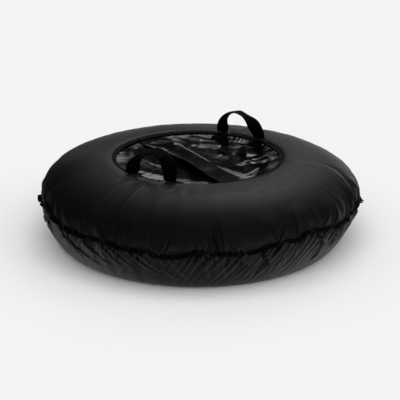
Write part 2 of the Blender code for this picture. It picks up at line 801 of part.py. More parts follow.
def main():
    clear_scene()
    oxford = material("matte_cover_fabric", (0.030, 0.030, 0.033), 0.85)
    coated = material("glossy_coated_sheet", (0.012, 0.012, 0.013), 0.22)
    tape = material("matte_tape", (0.014, 0.014, 0.015), 0.75)
    webbing = material("webbing", (0.008, 0.008, 0.009), 0.80)
    rubber = material("rubber", (0.020, 0.020, 0.020), 0.60)
    brass = material("brass", (0.700, 0.520, 0.240), 0.30, 1.0)
    steel = material("steel", (0.600, 0.600, 0.610), 0.30, 1.0)
    plastic = material("cap_plastic", (0.015, 0.015, 0.015), 0.45)

    top_cover("top_cover_back", 0, 1, oxford)
    top_cover("top_cover_front", COLUMNS // 2, -1, oxford)
    bottom_cover(coated)
    perimeter_binding(tape)
    ring_band(tape)
    seat_sheet("seat_flap", LIP_DISTANCE, -1, LIP_BOW, flap_height, coated)
    hem_tape("flap_hem_tape", LIP_DISTANCE, -1, LIP_BOW, flap_height, tape)
    seat_sheet("seat_panel", PANEL_EDGE_DISTANCE, 1, 0.0, panel_height, coated)
    hem_tape("panel_hem_tape", PANEL_EDGE_DISTANCE, 1, 0.0, panel_height, tape)

    handle_loop("left_handle", -1, LEFT_LEAN, LEFT_CREST_TILT, LEFT_TURN, webbing)
    handle_loop("right_handle", 1, RIGHT_LEAN, RIGHT_CREST_TILT, RIGHT_TURN, webbing)
    for side, hand, turn in ((-1, "left", LEFT_TURN), (1, "right", RIGHT_TURN)):
        for end, place in ((-1, "front"), (1, "back")):
            handle_tail(f"{hand}_handle_{place}_tail", side, end, turn, webbing)

    port_start, port_end = STEM_INNER_END - CUT_OVERRUN, BASE_RISE + CUT_OVERRUN
    inner_tube(rubber, rod("cut_port", STEM_RADIUS + GAP, port_start, port_end, rubber))
    valve(rubber, brass, steel, plastic)


main()
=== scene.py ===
"""Looks of the snow tube: gathered covers over an air-filled ring, a lap-over seat, two webbing handles.

Metres, +Z up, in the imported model's frame: the origin is on the ground under the middle of the ring.
Azimuths are in degrees from +X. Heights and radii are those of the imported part.
"""

import math

import bpy
import numpy as np
from mathutils import Matrix, Vector


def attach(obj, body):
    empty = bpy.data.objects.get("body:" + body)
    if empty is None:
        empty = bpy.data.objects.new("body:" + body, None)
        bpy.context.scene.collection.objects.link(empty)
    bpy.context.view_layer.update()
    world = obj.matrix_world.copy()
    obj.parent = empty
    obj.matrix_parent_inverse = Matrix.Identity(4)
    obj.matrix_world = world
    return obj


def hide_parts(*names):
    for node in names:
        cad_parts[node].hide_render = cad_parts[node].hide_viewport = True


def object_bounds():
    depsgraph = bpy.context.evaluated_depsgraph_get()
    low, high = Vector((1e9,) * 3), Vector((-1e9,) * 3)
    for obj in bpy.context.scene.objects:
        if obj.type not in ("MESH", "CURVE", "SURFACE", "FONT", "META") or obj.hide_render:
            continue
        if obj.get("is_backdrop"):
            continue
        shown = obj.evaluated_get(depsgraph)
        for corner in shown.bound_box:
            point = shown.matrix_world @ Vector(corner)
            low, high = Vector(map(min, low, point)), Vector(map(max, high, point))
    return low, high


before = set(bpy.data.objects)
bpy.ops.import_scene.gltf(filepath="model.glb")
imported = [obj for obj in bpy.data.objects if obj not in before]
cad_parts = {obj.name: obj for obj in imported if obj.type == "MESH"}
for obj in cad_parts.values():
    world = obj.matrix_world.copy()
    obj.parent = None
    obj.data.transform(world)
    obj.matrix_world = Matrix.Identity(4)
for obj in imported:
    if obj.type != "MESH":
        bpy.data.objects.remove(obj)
CAD_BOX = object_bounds()

# Outline of the sewn cover, as the part has it
SEAM_RADIUS = 0.490
SEAM_HEIGHT = 0.132
RING_RADIUS = 0.260
CREST_RADIUS = 0.290
CREST_HEIGHT = 0.2425
RING_HEIGHT = 0.239
DISH_DEPTH = 0.0218
CONTACT_RADIUS = 0.422
TOP_EXPONENT = 2.02
BOTTOM_EXPONENT = 1.35
FABRIC = 0.0008
SEAT_SHEET = 0.0007
BAND_TAPE = 0.0008

# How fine the pieces are modelled. Exponents draw a grid's rows together at its first edge
RISE_STEPS = 9
COLUMNS_PER_HALF = 960
TOP_ROWS = 84
TOP_ROW_EXPONENT = 1.6
WALL_ROWS = 72
WALL_ROW_EXPONENT = 1.25
BAND_COLUMNS = 1080
BAND_ROWS = 15
FLAP_GRID = (301, 200)
PANEL_GRID = (301, 160)
SEAT_ROW_EXPONENT = 1.15
SEAT_ACROSS = 0.995
# The flat base is closed with rings. Each is TAPER times as wide as the one outside it and has half its
# points, and they go on while a ring has more than TAPER_END
TAPER = 0.72
TAPER_END = 90

# Seam wave: where the gathered seam runs, as (azimuth, height)
SEAM_WAVE = (
    (142, 0.156), (148, 0.15), (153, 0.142), (160, 0.137), (168, 0.132), (174, 0.137), (177, 0.14),
    (181, 0.134), (189, 0.126), (194, 0.131), (198, 0.117), (202, 0.119), (206, 0.124), (209, 0.14),
    (215, 0.131), (221, 0.127), (227, 0.125), (232, 0.135), (237, 0.143), (243.5, 0.136), (247, 0.152),
    (254, 0.144), (261, 0.136), (270, 0.13), (278, 0.146),
)
WAVE_STEP = 8.0
WAVE_SPREAD = 0.008
WAVE_SMOOTHING = 1.1
# The smooth wave's steps in degrees, and how many of them its smoothing reaches
SEAM_STEP = 0.25
SEAM_REACH = 40

# Folds of the top cover that stand up from the seam: (azimuth at the seam, at the far end, length, height)
TOP_FOLDS = (
    (146, 141, 0.06, 0.006), (152, 146, 0.066, 0.006), (158, 150, 0.06, 0.007),
    (164.5, 156, 0.076, 0.009), (171, 166.5, 0.056, 0.008), (178.2, 173.6, 0.055, 0.009),
    (181.6, 180.3, 0.062, 0.006), (184.2, 183.6, 0.042, 0.005), (190.8, 185.4, 0.05, 0.009),
    (196.7, 194, 0.038, 0.006), (199.3, 201.6, 0.042, 0.005), (209.8, 209, 0.03, 0.005),
    (211.8, 210.6, 0.034, 0.006), (214.9, 213.8, 0.052, 0.006), (217.6, 216.6, 0.068, 0.007),
    (221.4, 218.4, 0.046, 0.007), (224, 221.6, 0.038, 0.005), (235.2, 232.6, 0.068, 0.007),
    (236.8, 240, 0.06, 0.006), (243.2, 244.2, 0.08, 0.008), (248.5, 247.5, 0.04, 0.004),
    (255.4, 260, 0.062, 0.005), (261.4, 264.6, 0.068, 0.006), (270.6, 272.8, 0.072, 0.005),
    (275, 281, 0.08, 0.008),
)
# Sharp creases of the top cover, pulled up from the seam: (azimuth at the seam, at the top, top height).
# They narrow by a share on their way up. The sharpness and the fade are exponents
TOP_CREASES = (
    (164, 155, 0.199), (171, 167, 0.184), (179.3, 174, 0.182), (181.5, 180, 0.19),
    (190.6, 185.7, 0.176), (196.7, 194.2, 0.166), (198.1, 195.8, 0.161), (199.3, 201.3, 0.17),
    (211.6, 210.6, 0.155), (215.2, 214.4, 0.179), (216.2, 214.1, 0.185), (217.6, 216.7, 0.195),
    (221.6, 218.5, 0.17), (223.7, 221.8, 0.163), (235.3, 233.1, 0.196), (236.4, 239.9, 0.187),
    (243, 243.9, 0.202), (255.2, 260.6, 0.192), (261.2, 264.7, 0.196), (271.2, 273.1, 0.198),
    (150, 146, 0.19), (141, 138, 0.185), (132, 130.5, 0.18),
)
CREASE_DEPTH = 0.0075
CREASE_WIDTH = 0.004
CREASE_NARROWING = 0.5
CREASE_SHARPNESS = 1.4
CREASE_FADE = 0.8
# The long deep fold on the right, as (azimuth, height) points with its depth and width
DEEP_FOLD = ((277, 0.15), (281.5, 0.176), (287.5, 0.202), (290.5, 0.22), (291.5, 0.234))
DEEP_FOLD_DEPTH = 0.011
DEEP_FOLD_WIDTH = 0.008
DEEP_FOLD_GROWTH = 0.6
DEEP_FOLD_FADE = 0.6
# Swellings beside creases: place and width in widths of the crease, height as a share of its depth, and
# how much higher one side is than the middle of the two
CREASE_FLANK = (2.4, 1.3, 0.30, 0.0)
DEEP_FLANK = (2.1, 1.1, 0.55, 0.5)
LINE_FLANK = (2.2, 1.1, 0.25, 0.4)
SEAT_FLANK = (2.1, 1.0, 0.30, 0.5)

# The top cover's folds: width at the seam, growth of the width, and the exponents of their shape
FOLD_WIDTH = 0.0055
FOLD_START = 0.75
FOLD_GROWTH = 1.3
FOLD_BEND = 0.9
FOLD_SHARPNESS = 1.25
FOLD_FADE = 1.1
FOLD_SHARE = 0.5
# Pits between the folds, above the seam and below it. Each swing is (middle, swing) of a share that
# wanders round the ring
PIT_DEPTH = 0.010
PIT_DEPTH_SWING = (0.65, 0.35)
PIT_REACH_SWING = (1, 0.3)
LOW_PIT_SWING = (0.15, 0.25)
PIT_LIMITS = (0.004, 0.0125)
PIT_REACH = 0.024
PIT_SHARPNESS = 1.5
LOW_PIT_LIMIT = 0.006
LOW_PIT_REACH = 0.028
LOW_PIT_SHARPNESS = 1.4
# A low bulge above the pits: height, distance from the seam, width
BILLOW_HEIGHT = 0.0022
BILLOW_PLACE = 0.045
BILLOW_WIDTH = 0.030
BILLOW_SWING = 0.5
# Slack cloth near the seam, in fine and in broad waves: (height, reach), above it and below it.
# The fine ones come in over a short way, and below the seam they lean by that many degrees a decimetre
TOP_FINE, TOP_BROAD = (0.0012, 0.045), (0.0008, 0.10)
LOW_FINE, LOW_BROAD = (0.0015, 0.06), (0.0011, 0.09)
TOP_FINE_START = 0.010
LOW_FINE_START = 0.008
LOW_FINE_LEAN = 8.0
# Random waves round the ring: (seed, shortest and longest in degrees, how many where it isn't the usual)
WAVE_COUNT = 14
WAVES = {
    "pit_depth": (8, 6, 22), "pit_reach": (9, 9, 30), "billow": (12, 8, 25), "low_pit": (18, 7, 20),
    "top_fine": (14, 2.6, 7.0, 20), "top_broad": (15, 5.0, 14.0, 20),
    "low_fine": (19, 1.8, 4.5, 24), "low_broad": (20, 4.0, 11.0, 20),
    "droop": (41, 7, 24), "curl": (43, 3.0, 8.0), "tooth": (44, 6, 16), "puff": (47, 1.2, 3.0),
    "band_edge": (61, 2.5, 7), "band_wander": (62, 4, 12), "pucker": (91, 4.5, 9.0, 16),
}
WAVE_PEAK = 1.5
# The bottom cover's relief fades out over this height, this far above the ground
FOOT_CLEAR = 0.004
FOOT_BLEND = 0.03
# How much of the top cover's relief the seam has, and how far the seam is drawn in all round
TOP_SHARE = 0.6
SEAM_INSET = 0.001
# The left flank is drawn in at the seam, and the top cover is plainer there
LEFT_AZIMUTH = 124.0
LEFT_SPREAD = 26.0
LEFT_DRAW = 0.014
LEFT_REACH = 0.085
CALM = 0.8
CALM_AZIMUTH = 118.0
CALM_SPREAD = 26.0
CALM_RIDGE = 0.4
# Folds, creases and lines of the side that the photograph doesn't show: seed, where they start and end,
# and the ranges that they are drawn from
HIDDEN_FOLDS = {
    "seed": 21, "first": 286.0, "last": 500.0, "lean": 5.5, "length": (0.034, 0.078),
    "height": (0.004, 0.009), "step": (3.0, 10.5), "low_from": 450.0, "low_share": 0.4,
}
HIDDEN_CREASES = {
    "seed": 24, "first": 286.0, "last": 488.0, "lean": 5, "top": (0.160, 0.200), "step": (3.5, 11.0),
}
HIDDEN_LINES = {
    "first": 282.0, "last": 512.0, "start": 0.128, "start_drop": 0.02, "length": (0.035, 0.085),
    "lean": 6, "bend": 1.5, "step": (0.5, 1.5),
}

# Grooves of the bottom cover: (depth, width, points as (azimuth, height))
BOTTOM_GROOVES = (
    (0.007, 0.004, ((208.6, 0.129), (209.4, 0.116), (210.6, 0.098))),
    (0.008, 0.004, ((212.1, 0.128), (212.8, 0.108), (214.6, 0.084))),
    (0.008, 0.0035, ((214.6, 0.127), (215, 0.108), (215.3, 0.086))),
    (0.009, 0.0045, ((221.6, 0.121), (223.4, 0.108), (223.6, 0.079))),
    (0.005, 0.005, ((219.9, 0.118), (218.7, 0.099), (218.5, 0.078))),
    (0.01, 0.005, ((232.2, 0.126), (230.6, 0.11), (232.4, 0.09), (231, 0.07), (228.6, 0.033))),
    (0.01, 0.005, ((194.2, 0.128), (195.6, 0.114), (197, 0.096), (198.2, 0.078))),
    (0.011, 0.0055, ((251.6, 0.139), (253.9, 0.115), (255.7, 0.083), (254.9, 0.058), (252.1, 0.038))),
    (0.005, 0.004, ((171, 0.126), (173, 0.108), (174, 0.094))),
    (0.006, 0.005, ((203.4, 0.118), (204.2, 0.104), (205.4, 0.086))),
    (0.006, 0.006, ((236.4, 0.126), (234.8, 0.11), (234, 0.096))),
    (0.004, 0.004, ((182.1, 0.126), (182.6, 0.098), (183.9, 0.066))),
    (0.007, 0.005, ((259.4, 0.134), (260, 0.104), (259.4, 0.066))),
    (0.008, 0.005, ((265.4, 0.126), (265.6, 0.09), (264.8, 0.052))),
)
# Sharp raised streaks of the bottom cover, in the same form, and how these lines widen, sharpen and fade
BOTTOM_STREAKS = (
    (0.005, 0.005, ((245.2, 0.13), (243.6, 0.101), (242.2, 0.06))),
    (0.005, 0.006, ((156, 0.136), (159.8, 0.09), (166.5, 0.045))),
    (0.006, 0.006, ((160, 0.13), (164, 0.079), (172, 0.048), (176, 0.034))),
    (0.005, 0.005, ((168, 0.126), (170.5, 0.104), (176, 0.07), (180, 0.05))),
    (0.005, 0.0045, ((176.5, 0.13), (180.4, 0.086), (183.4, 0.06))),
    (0.004, 0.0045, ((179, 0.128), (184, 0.09), (188.4, 0.058))),
    (0.0045, 0.0045, ((186, 0.122), (190, 0.092), (195, 0.062), (198, 0.044))),
    (0.004, 0.0045, ((191, 0.12), (193.6, 0.098), (197.6, 0.062))),
    (0.004, 0.004, ((198.6, 0.072), (201.4, 0.05), (204.4, 0.034))),
    (0.004, 0.0045, ((200.6, 0.112), (203.4, 0.076), (206.6, 0.044))),
    (0.0035, 0.004, ((207.4, 0.116), (208.2, 0.086), (210.6, 0.05))),
    (0.0035, 0.0045, ((212, 0.09), (213, 0.062), (213.4, 0.036))),
    (0.004, 0.005, ((217.4, 0.082), (218.6, 0.056), (219, 0.034))),
    (0.0045, 0.0045, ((226.4, 0.084), (224.4, 0.06), (222.6, 0.038))),
    (0.004, 0.0045, ((233.6, 0.082), (232.8, 0.06), (231.8, 0.04))),
    (0.006, 0.005, ((262.6, 0.126), (263.1, 0.082), (262.5, 0.046))),
    (0.006, 0.005, ((268.4, 0.125), (268.3, 0.082), (267, 0.046))),
    (0.005, 0.005, ((276, 0.125), (274.7, 0.085), (270.8, 0.06))),
    (0.004, 0.005, ((240.6, 0.126), (239, 0.1), (238.2, 0.08))),
    (0.004, 0.005, ((238.8, 0.088), (237.4, 0.066), (236.6, 0.048))),
)
LINE_WIDTH = 0.72
LINE_GROWTH = (0.8, 0.5)
LINE_SHARPNESS = 1.15
LINE_FADE = 0.7
LINE_RISE = (0.35, 0.65)
LINE_RISE_SHARE = 0.15
LINE_REACH = 14.0

# Hollows of the top cover round a handle's legs: (azimuth, radius, depth, size)
LEG_DENTS = (
    (167, 0.315, 0.0022, 0.018), (175, 0.321, 0.0018, 0.014), (187, 0.335, 0.0016, 0.018),
    (193, 0.304, 0.0028, 0.016), (198, 0.322, 0.002, 0.016), (205, 0.33, 0.0016, 0.018),
    (158.5, 0.268, 0.003, 0.014), (188, 0.275, 0.0032, 0.014), (195.5, 0.268, 0.002, 0.013),
)
# The line where the two halves of the top cover are joined: a groove with swellings beside it, which are
# (height, distance, width), both starting a little way from the ring
JOIN_DEPTH = 0.0016
JOIN_WIDTH = 0.0022
JOIN_SWELLING = (0.0007, 0.006, 0.004)
JOIN_START = 0.02
# Wide soft swellings of the top cover, which start some way from the ring and from the seam
SWELL_HEIGHT = 0.0005
SWELL_SIZE = 0.20
SWELL_FROM_RING, SWELL_FROM_SEAM = 0.05, 0.03
# How the top cover dips where the band is sewn on
RING_DIP = 0.0012
RING_DIP_REACH = 0.003

# Seam allowances and the tape folded over them, which droops by an angle. LIFTED says where it droops
# less, as (azimuth, spread, degrees)
TAPE_WIDTH = 0.0135
TAPE_THICKNESS = 0.0034
DROOP = 58.0
DROOP_SPREAD = 17.0
DROOP_LIMITS = (-20, 84)
LIFTED = ((146, 9, 60), (286, 8, 45))
CURL_HEIGHT = 0.0022
CURL_EXPONENT = 1.5
TAPE_COLUMNS = 1440
# The tape's section: (place across it, half thickness as a share)
TAPE_SECTION = ((0.0006, 0.55), (0.003, 0.8), (0.007, 1.0), (0.0105, 1.0), (0.0125, 0.8))
PUFF = 0.0004
# How far the covers reach into the tape, and on which side of its middle each of them lies
TUCK = 0.006
TUCK_ABOVE, TUCK_BELOW = 0.0004, -0.0006
SEAM_BLEND = 0.010
# Where the tape is ruffled most: (azimuth, spread, depth), and the length of one ruffle in degrees
RUFFLES = ((124.0, 13.0, 0.0060), (287.0, 8.0, 0.0075))
RUFFLE_STEP = 3.3
RUFFLE_WANDER = 0.7
RUFFLE_SWING, RUFFLE_OFFSET = 1.2, 0.4

# Ring band and seat
BAND_INNER_RADIUS = 0.2475
STITCH_LINES = (0.14, 0.84)
STITCH_DEPTH = 0.0005
STITCH_WIDTH = 0.05
# The band's inner edge goes up and down, and in and out, by a little
EDGE_RISE, EDGE_RISE_REACH = 0.0005, 0.2
EDGE_WANDER = 0.0007
SEAT_RADIUS = 0.2588
LIP_NORMAL_ANGLE = math.radians(152.5)
LIP_NORMAL = (math.cos(LIP_NORMAL_ANGLE), math.sin(LIP_NORMAL_ANGLE))
LIP_DISTANCE = 0.0735
LIP_HALF_LENGTH = 0.2481
LIP_LIFT = 0.027
LIP_LIFT_EXPONENT = 1.3
LIP_BOW = 0.012
RIDGE_SETBACK = 0.067
RIDGE_FALL = 0.050
PANEL_EDGE_DISTANCE = -0.0065
PANEL_CROWN = 0.010
HEM_DEPTH_SHARE = 0.04
HEM_END_SHARE = 0.90
HEM_RUN = 0.33
HEM_TAPE = 0.00035
GAP = 0.0003
FLAP_DROP = 0.0032
PANEL_DROP = 0.00485

# Webbing handles
WEBBING_WIDTH = 0.040
WEBBING = 0.0015
LEG_SPACING = 0.134
YAW_SHARE = 0.24
TWIST_START = 0.12
TWIST_LENGTH = 0.73
STRAP_CUP = 0.0008
LOOP_STEPS = 168
TAIL_STEPS = 12
# Each loop's curve: its height, spacing and exponent, how far its legs turn, and which way it twists
LEFT_LOOP = {"height": 0.077, "spacing": 0.134, "exponent": 1.9, "yaw": 30.0, "yaw_end": 0.2, "roll": 1}
RIGHT_LOOP = {"height": 0.085, "spacing": 0.140, "exponent": 1.65, "yaw": 12.0, "yaw_end": 0.5, "roll": -1}
HANDLE_AXIS_RADIUS = math.sqrt(RING_RADIUS**2 - (LEG_SPACING / 2) ** 2)
HANDLE_AXIS_HEIGHT = 0.2410
LEFT_TURN = math.radians(-2.8)
RIGHT_TURN = math.radians(-3.4)
# (hand, side, lean away from the middle, tilt of the crest, turn round the ring, curve)
HANDLES = (
    ("left", -1, math.radians(22), math.radians(38), LEFT_TURN, LEFT_LOOP),
    ("right", 1, math.radians(13), math.radians(14), RIGHT_TURN, RIGHT_LOOP),
)
TAIL_LENGTH = 0.044
TAIL_DROP = 0.0011

# Inner tube, kept a little inside its solid
TUBE_ROOM = 0.004
TUBE_OUTER_RADIUS = 0.478
TUBE_TOP = 0.2345
TUBE_TOP_EXPONENT = 1.45
TUBE_BOTTOM_EXPONENT = 2.0
TUBE_COLUMNS = 160
TUBE_STEPS = 16
HOLE_RADIUS = 0.100
FLAT_MIDDLE_RADIUS = 0.200
TUBE_MIDDLE_RADIUS = 0.3

# Camera: the photograph's view
CAMERA_ELEVATION = 19.85
CAMERA_AZIMUTH = 210.0
CAMERA_DISTANCE = 3.0
CAMERA_LENS = 87.75
AIM_HEIGHT = 0.13
AIM_RIGHT = 0.00615
AIM_UP = -0.0326

# Studio light. Azimuths in these lists are the photograph's: 0 is to its right, 90 away, 180 to its left
PHOTO_TURN = 60.0
# Soft lights as (azimuth, elevation, level, sharpness), cut off below the heights of LIGHT_FOOT
SOFT_LIGHTS = (
    (78.0, 42.0, 0.85, 20.0),
    (80.0, 38.0, 3.0, 160.0),
)
LIGHT_FOOT = (0.43, 0.60)
LOW_LIGHT = (70.0, 14.0, 0.12, 40.0)
# White wall behind: the cosines between which it comes in, and the heights of its soft top and foot
WALL_AZIMUTH = 74.0
WALL_SPREAD = (0.80, 0.94)
WALL_TOP = (0.10, 0.19)
WALL_FOOT = (-0.35, -0.25)
WALL_LEVEL = 0.80
AMBIENT_AZIMUTH = 310.0
AMBIENT_LEVEL = 0.052
AMBIENT_SWING = 0.050
AMBIENT_HEIGHT = (0.0, 0.5)
AMBIENT_LOW = 0.3
FOOT_LEVEL = 0.05
FOOT_HEIGHT = (-0.5, 0.05)
# Light thrown up by the floor: straight below, and beside the object
DEEP_LEVEL = 0.085
DEEP_HEIGHT = (-0.86, -0.45)
FLOOR_GLOW = (
    (150.0, -35.0, 0.26, 9.0),
    (28.0, -35.0, 0.38, 9.0),
    (305.0, -28.0, 0.20, 8.0),
)
# Suns that light the floor alone: (name, azimuth, elevation, strength, spread)
FLOOR_SUNS = (
    ("floor_sky", 90.0, 90.0, 0.50, 180.0),
    ("floor_top", 270.0, 80.0, 1.15, 60.0),
    ("floor_right", 345.0, 42.0, 0.85, 60.0),
    ("floor_left", 170.0, 42.0, 0.35, 60.0),
    ("floor_front", 262.0, 42.0, 0.80, 60.0),
)
FLOOR_TONE = 0.85
FLOOR_HALF = 60.0
BACKDROP_RADIUS = 70.0
BACKDROP_SIDES = 96
BACKDROP_LEVEL = 0.90


# Small helpers for fields of numbers


def ease(value):
    """Smooth step from 0 to 1."""
    value = np.clip(value, 0.0, 1.0)
    return value * value * (3 - 2 * value)


def bell(value, middle, width):
    """1 at the middle, and next to nothing two widths away."""
    return np.exp(-(((value - middle) / width) ** 2))


def turn_between(azimuth, other):
    """Signed degrees from one azimuth to another, the short way."""
    return (azimuth - other + 180.0) % 360.0 - 180.0


def near(azimuth, middle, spread):
    """A bell round the ring, in degrees."""
    return bell(turn_between(azimuth, middle), 0.0, spread)


def flank(away, wide, side, shape):
    """The swelling beside a crease, as a share of the crease's depth."""
    place, width, height, lean = shape
    return height * bell(away, place * wide, width * wide) * (1 + lean * side)


def even_azimuths(count):
    """That many azimuths at even steps round the ring."""
    return np.arange(count) * 360.0 / count


def random_waves(waves, count, seed):
    """A sum of cosines that spreads about 1 either way. waves makes the phase of one of them."""
    rolls = np.random.default_rng(seed)
    total = 0.0
    for _ in range(count):
        phase = waves(rolls)
        total = total + np.cos(phase + rolls.uniform(0, math.tau))
    return total / math.sqrt(count / 2)


def round_waves(azimuth, name):
    """A random wave that closes up round the ring. WAVES holds its seed and lengths under its name."""
    seed, shortest, longest, count = (*WAVES[name], WAVE_COUNT)[:4]
    angle = np.radians(azimuth)
    return random_waves(lambda rolls: angle * round(360.0 / rolls.uniform(shortest, longest)), count, seed)


def wandering(azimuth, name, middle, swing):
    """A share that goes about as far as swing either way of its middle, round the ring."""
    return middle + swing * round_waves(azimuth, name) / WAVE_PEAK


def field(x, y, seed, length, count=22):
    """A smooth random field with features of about that length."""
    def wave(rolls):
        angle = rolls.uniform(0, math.tau)
        size = length * rolls.uniform(0.7, 1.6)
        return (x * math.cos(angle) + y * math.sin(angle)) * math.tau / size
    return random_waves(wave, count, seed)


def nearest_on_line(x, y, points):
    """(distance to a line of points, side of it, share of its length at the nearest place)."""
    lengths = [math.dist(a, b) for a, b in zip(points, points[1:])]
    total = sum(lengths)
    best = np.full(np.shape(x), np.inf)
    side = np.zeros(np.shape(x))
    share = np.zeros(np.shape(x))
    run = 0.0
    for (ax, ay), (bx, by), length in zip(points, points[1:], lengths):
        ux, uy = (bx - ax) / length, (by - ay) / length
        along = np.clip((x - ax) * ux + (y - ay) * uy, 0, length)
        away = np.hypot(x - ax - along * ux, y - ay - along * uy)
        nearer = away < best
        best = np.where(nearer, away, best)
        side = np.where(nearer, np.sign(ux * (y - ay) - uy * (x - ax)), side)
        share = np.where(nearer, (run + along) / total, share)
        run += length
    return best, side, share


# Mesh building


def vertex_normals(points, quads, tris):
    normals = np.zeros_like(points)
    for faces in (quads, tris):
        if len(faces) == 0:
            continue
        a, b, c = points[faces[:, 0]], points[faces[:, 1]], points[faces[:, -1]]
        across = np.cross(b - a, c - a)
        for corner in range(faces.shape[1]):
            np.add.at(normals, faces[:, corner], across)
    return normals / np.maximum(np.linalg.norm(normals, axis=1), 1e-12)[:, None]


NO_TRIS = np.zeros((0, 3), int)
# The order of corners that turns a face over and keeps its first corner
TURNED = [0, 3, 2, 1]


def build_mesh(name, points, quads, cloth, finish, tris=NO_TRIS):
    """A smooth-shaded object. cloth holds each point's place on the flat material, in metres."""
    points, cloth = points.reshape(-1, 3), cloth.reshape(-1, 2)
    mesh = bpy.data.meshes.new(name)
    counts = np.concatenate([np.full(len(quads), 4), np.full(len(tris), 3)])
    corners = np.concatenate([quads.ravel(), tris.ravel()]).astype(np.int32)
    mesh.vertices.add(len(points))
    mesh.vertices.foreach_set("co", points.astype(np.float32).ravel())
    mesh.loops.add(len(corners))
    mesh.loops.foreach_set("vertex_index", corners)
    mesh.polygons.add(len(counts))
    starts = np.concatenate([[0], np.cumsum(counts)[:-1]]).astype(np.int32)
    mesh.polygons.foreach_set("loop_start", starts)
    mesh.update(calc_edges=True)
    mesh.validate()
    stored = mesh.attributes.new("cloth", "FLOAT_VECTOR", "POINT")
    place = np.zeros((len(points), 3), np.float32)
    place[:, :2] = cloth
    stored.data.foreach_set("vector", place.ravel())
    mesh.shade_smooth()
    mesh.materials.append(finish)
    made = bpy.data.objects.new(name, mesh)
    bpy.context.scene.collection.objects.link(made)
    return made


def sheet_mesh(name, points, quads, cloth, thickness, finish, tris=NO_TRIS):
    """A closed sheet: the given faces, a back one thickness behind them, and a rim round every open edge."""
    points, cloth = points.reshape(-1, 3), cloth.reshape(-1, 2)
    normals = vertex_normals(points, quads, tris)
    count = len(points)
    everything = np.concatenate([points, points - normals * thickness])
    edges = []
    for faces in (quads, tris):
        for corner in range(faces.shape[1]):
            after = (corner + 1) % faces.shape[1]
            edges.append(np.stack([faces[:, corner], faces[:, after]], axis=1))
    edges = np.concatenate(edges)
    keys = np.sort(edges, axis=1)
    _, index, uses = np.unique(keys, axis=0, return_inverse=True, return_counts=True)
    rim = edges[uses[index.reshape(-1)] == 1]
    sides = np.stack([rim[:, 1], rim[:, 0], rim[:, 0] + count, rim[:, 1] + count], axis=1)
    all_quads = np.concatenate([quads, quads[:, ::-1] + count, sides])
    all_tris = np.concatenate([tris, tris[:, ::-1] + count])
    return build_mesh(name, everything, all_quads, np.concatenate([cloth, cloth]), finish, all_tris)


def grid_quads(columns, rows, closed=False, tube=False):
    """Faces of a grid whose points run row by row within each column. A tube's rows close up too."""
    column, row = np.meshgrid(
        np.arange(columns if closed else columns - 1), np.arange(rows if tube else rows - 1), indexing="ij"
    )
    there, above = (column + 1) % columns * rows, (row + 1) % rows
    here = column * rows
    return np.stack([here + row, there + row, there + above, here + above], axis=-1).reshape(-1, 4)


def grid_cloth(along, across):
    """Places on the flat material for a grid of points."""
    return np.stack(np.meshgrid(along, across, indexing="ij"), axis=-1)


# Materials: small node graphs, each with its own weave or grain, and tone changes


# Noise lies mostly in this range, and the noise of the tones is as rough as this
NOISE_RANGE = (0.3, 0.7)
TONE_ROUGHNESS = 0.6


class Nodes:
    """A node tree, with short ways to add, link and reckon."""

    def __init__(self, tree):
        self.tree = tree

    def add(self, kind, **values):
        node = self.tree.nodes.new(kind)
        for key, value in values.items():
            setattr(node, key, value)
        return node

    def link(self, source, target):
        self.tree.links.new(source, target)

    def math(self, operation, *values):
        node = self.add("ShaderNodeMath", operation=operation)
        for socket, value in zip(node.inputs, values):
            if isinstance(value, (int, float)):
                socket.default_value = value
            else:
                self.link(value, socket)
        return node.outputs[0]

    def axes(self, vector):
        parts = self.add("ShaderNodeSeparateXYZ")
        self.link(vector, parts.inputs[0])
        return parts.outputs

    def range(self, value, low, high, out_low, out_high, **kind):
        node = self.add("ShaderNodeMapRange", **kind)
        for socket, number in zip(node.inputs[1:5], (low, high, out_low, out_high)):
            socket.default_value = number
        self.link(value, node.inputs[0])
        return node.outputs[0]


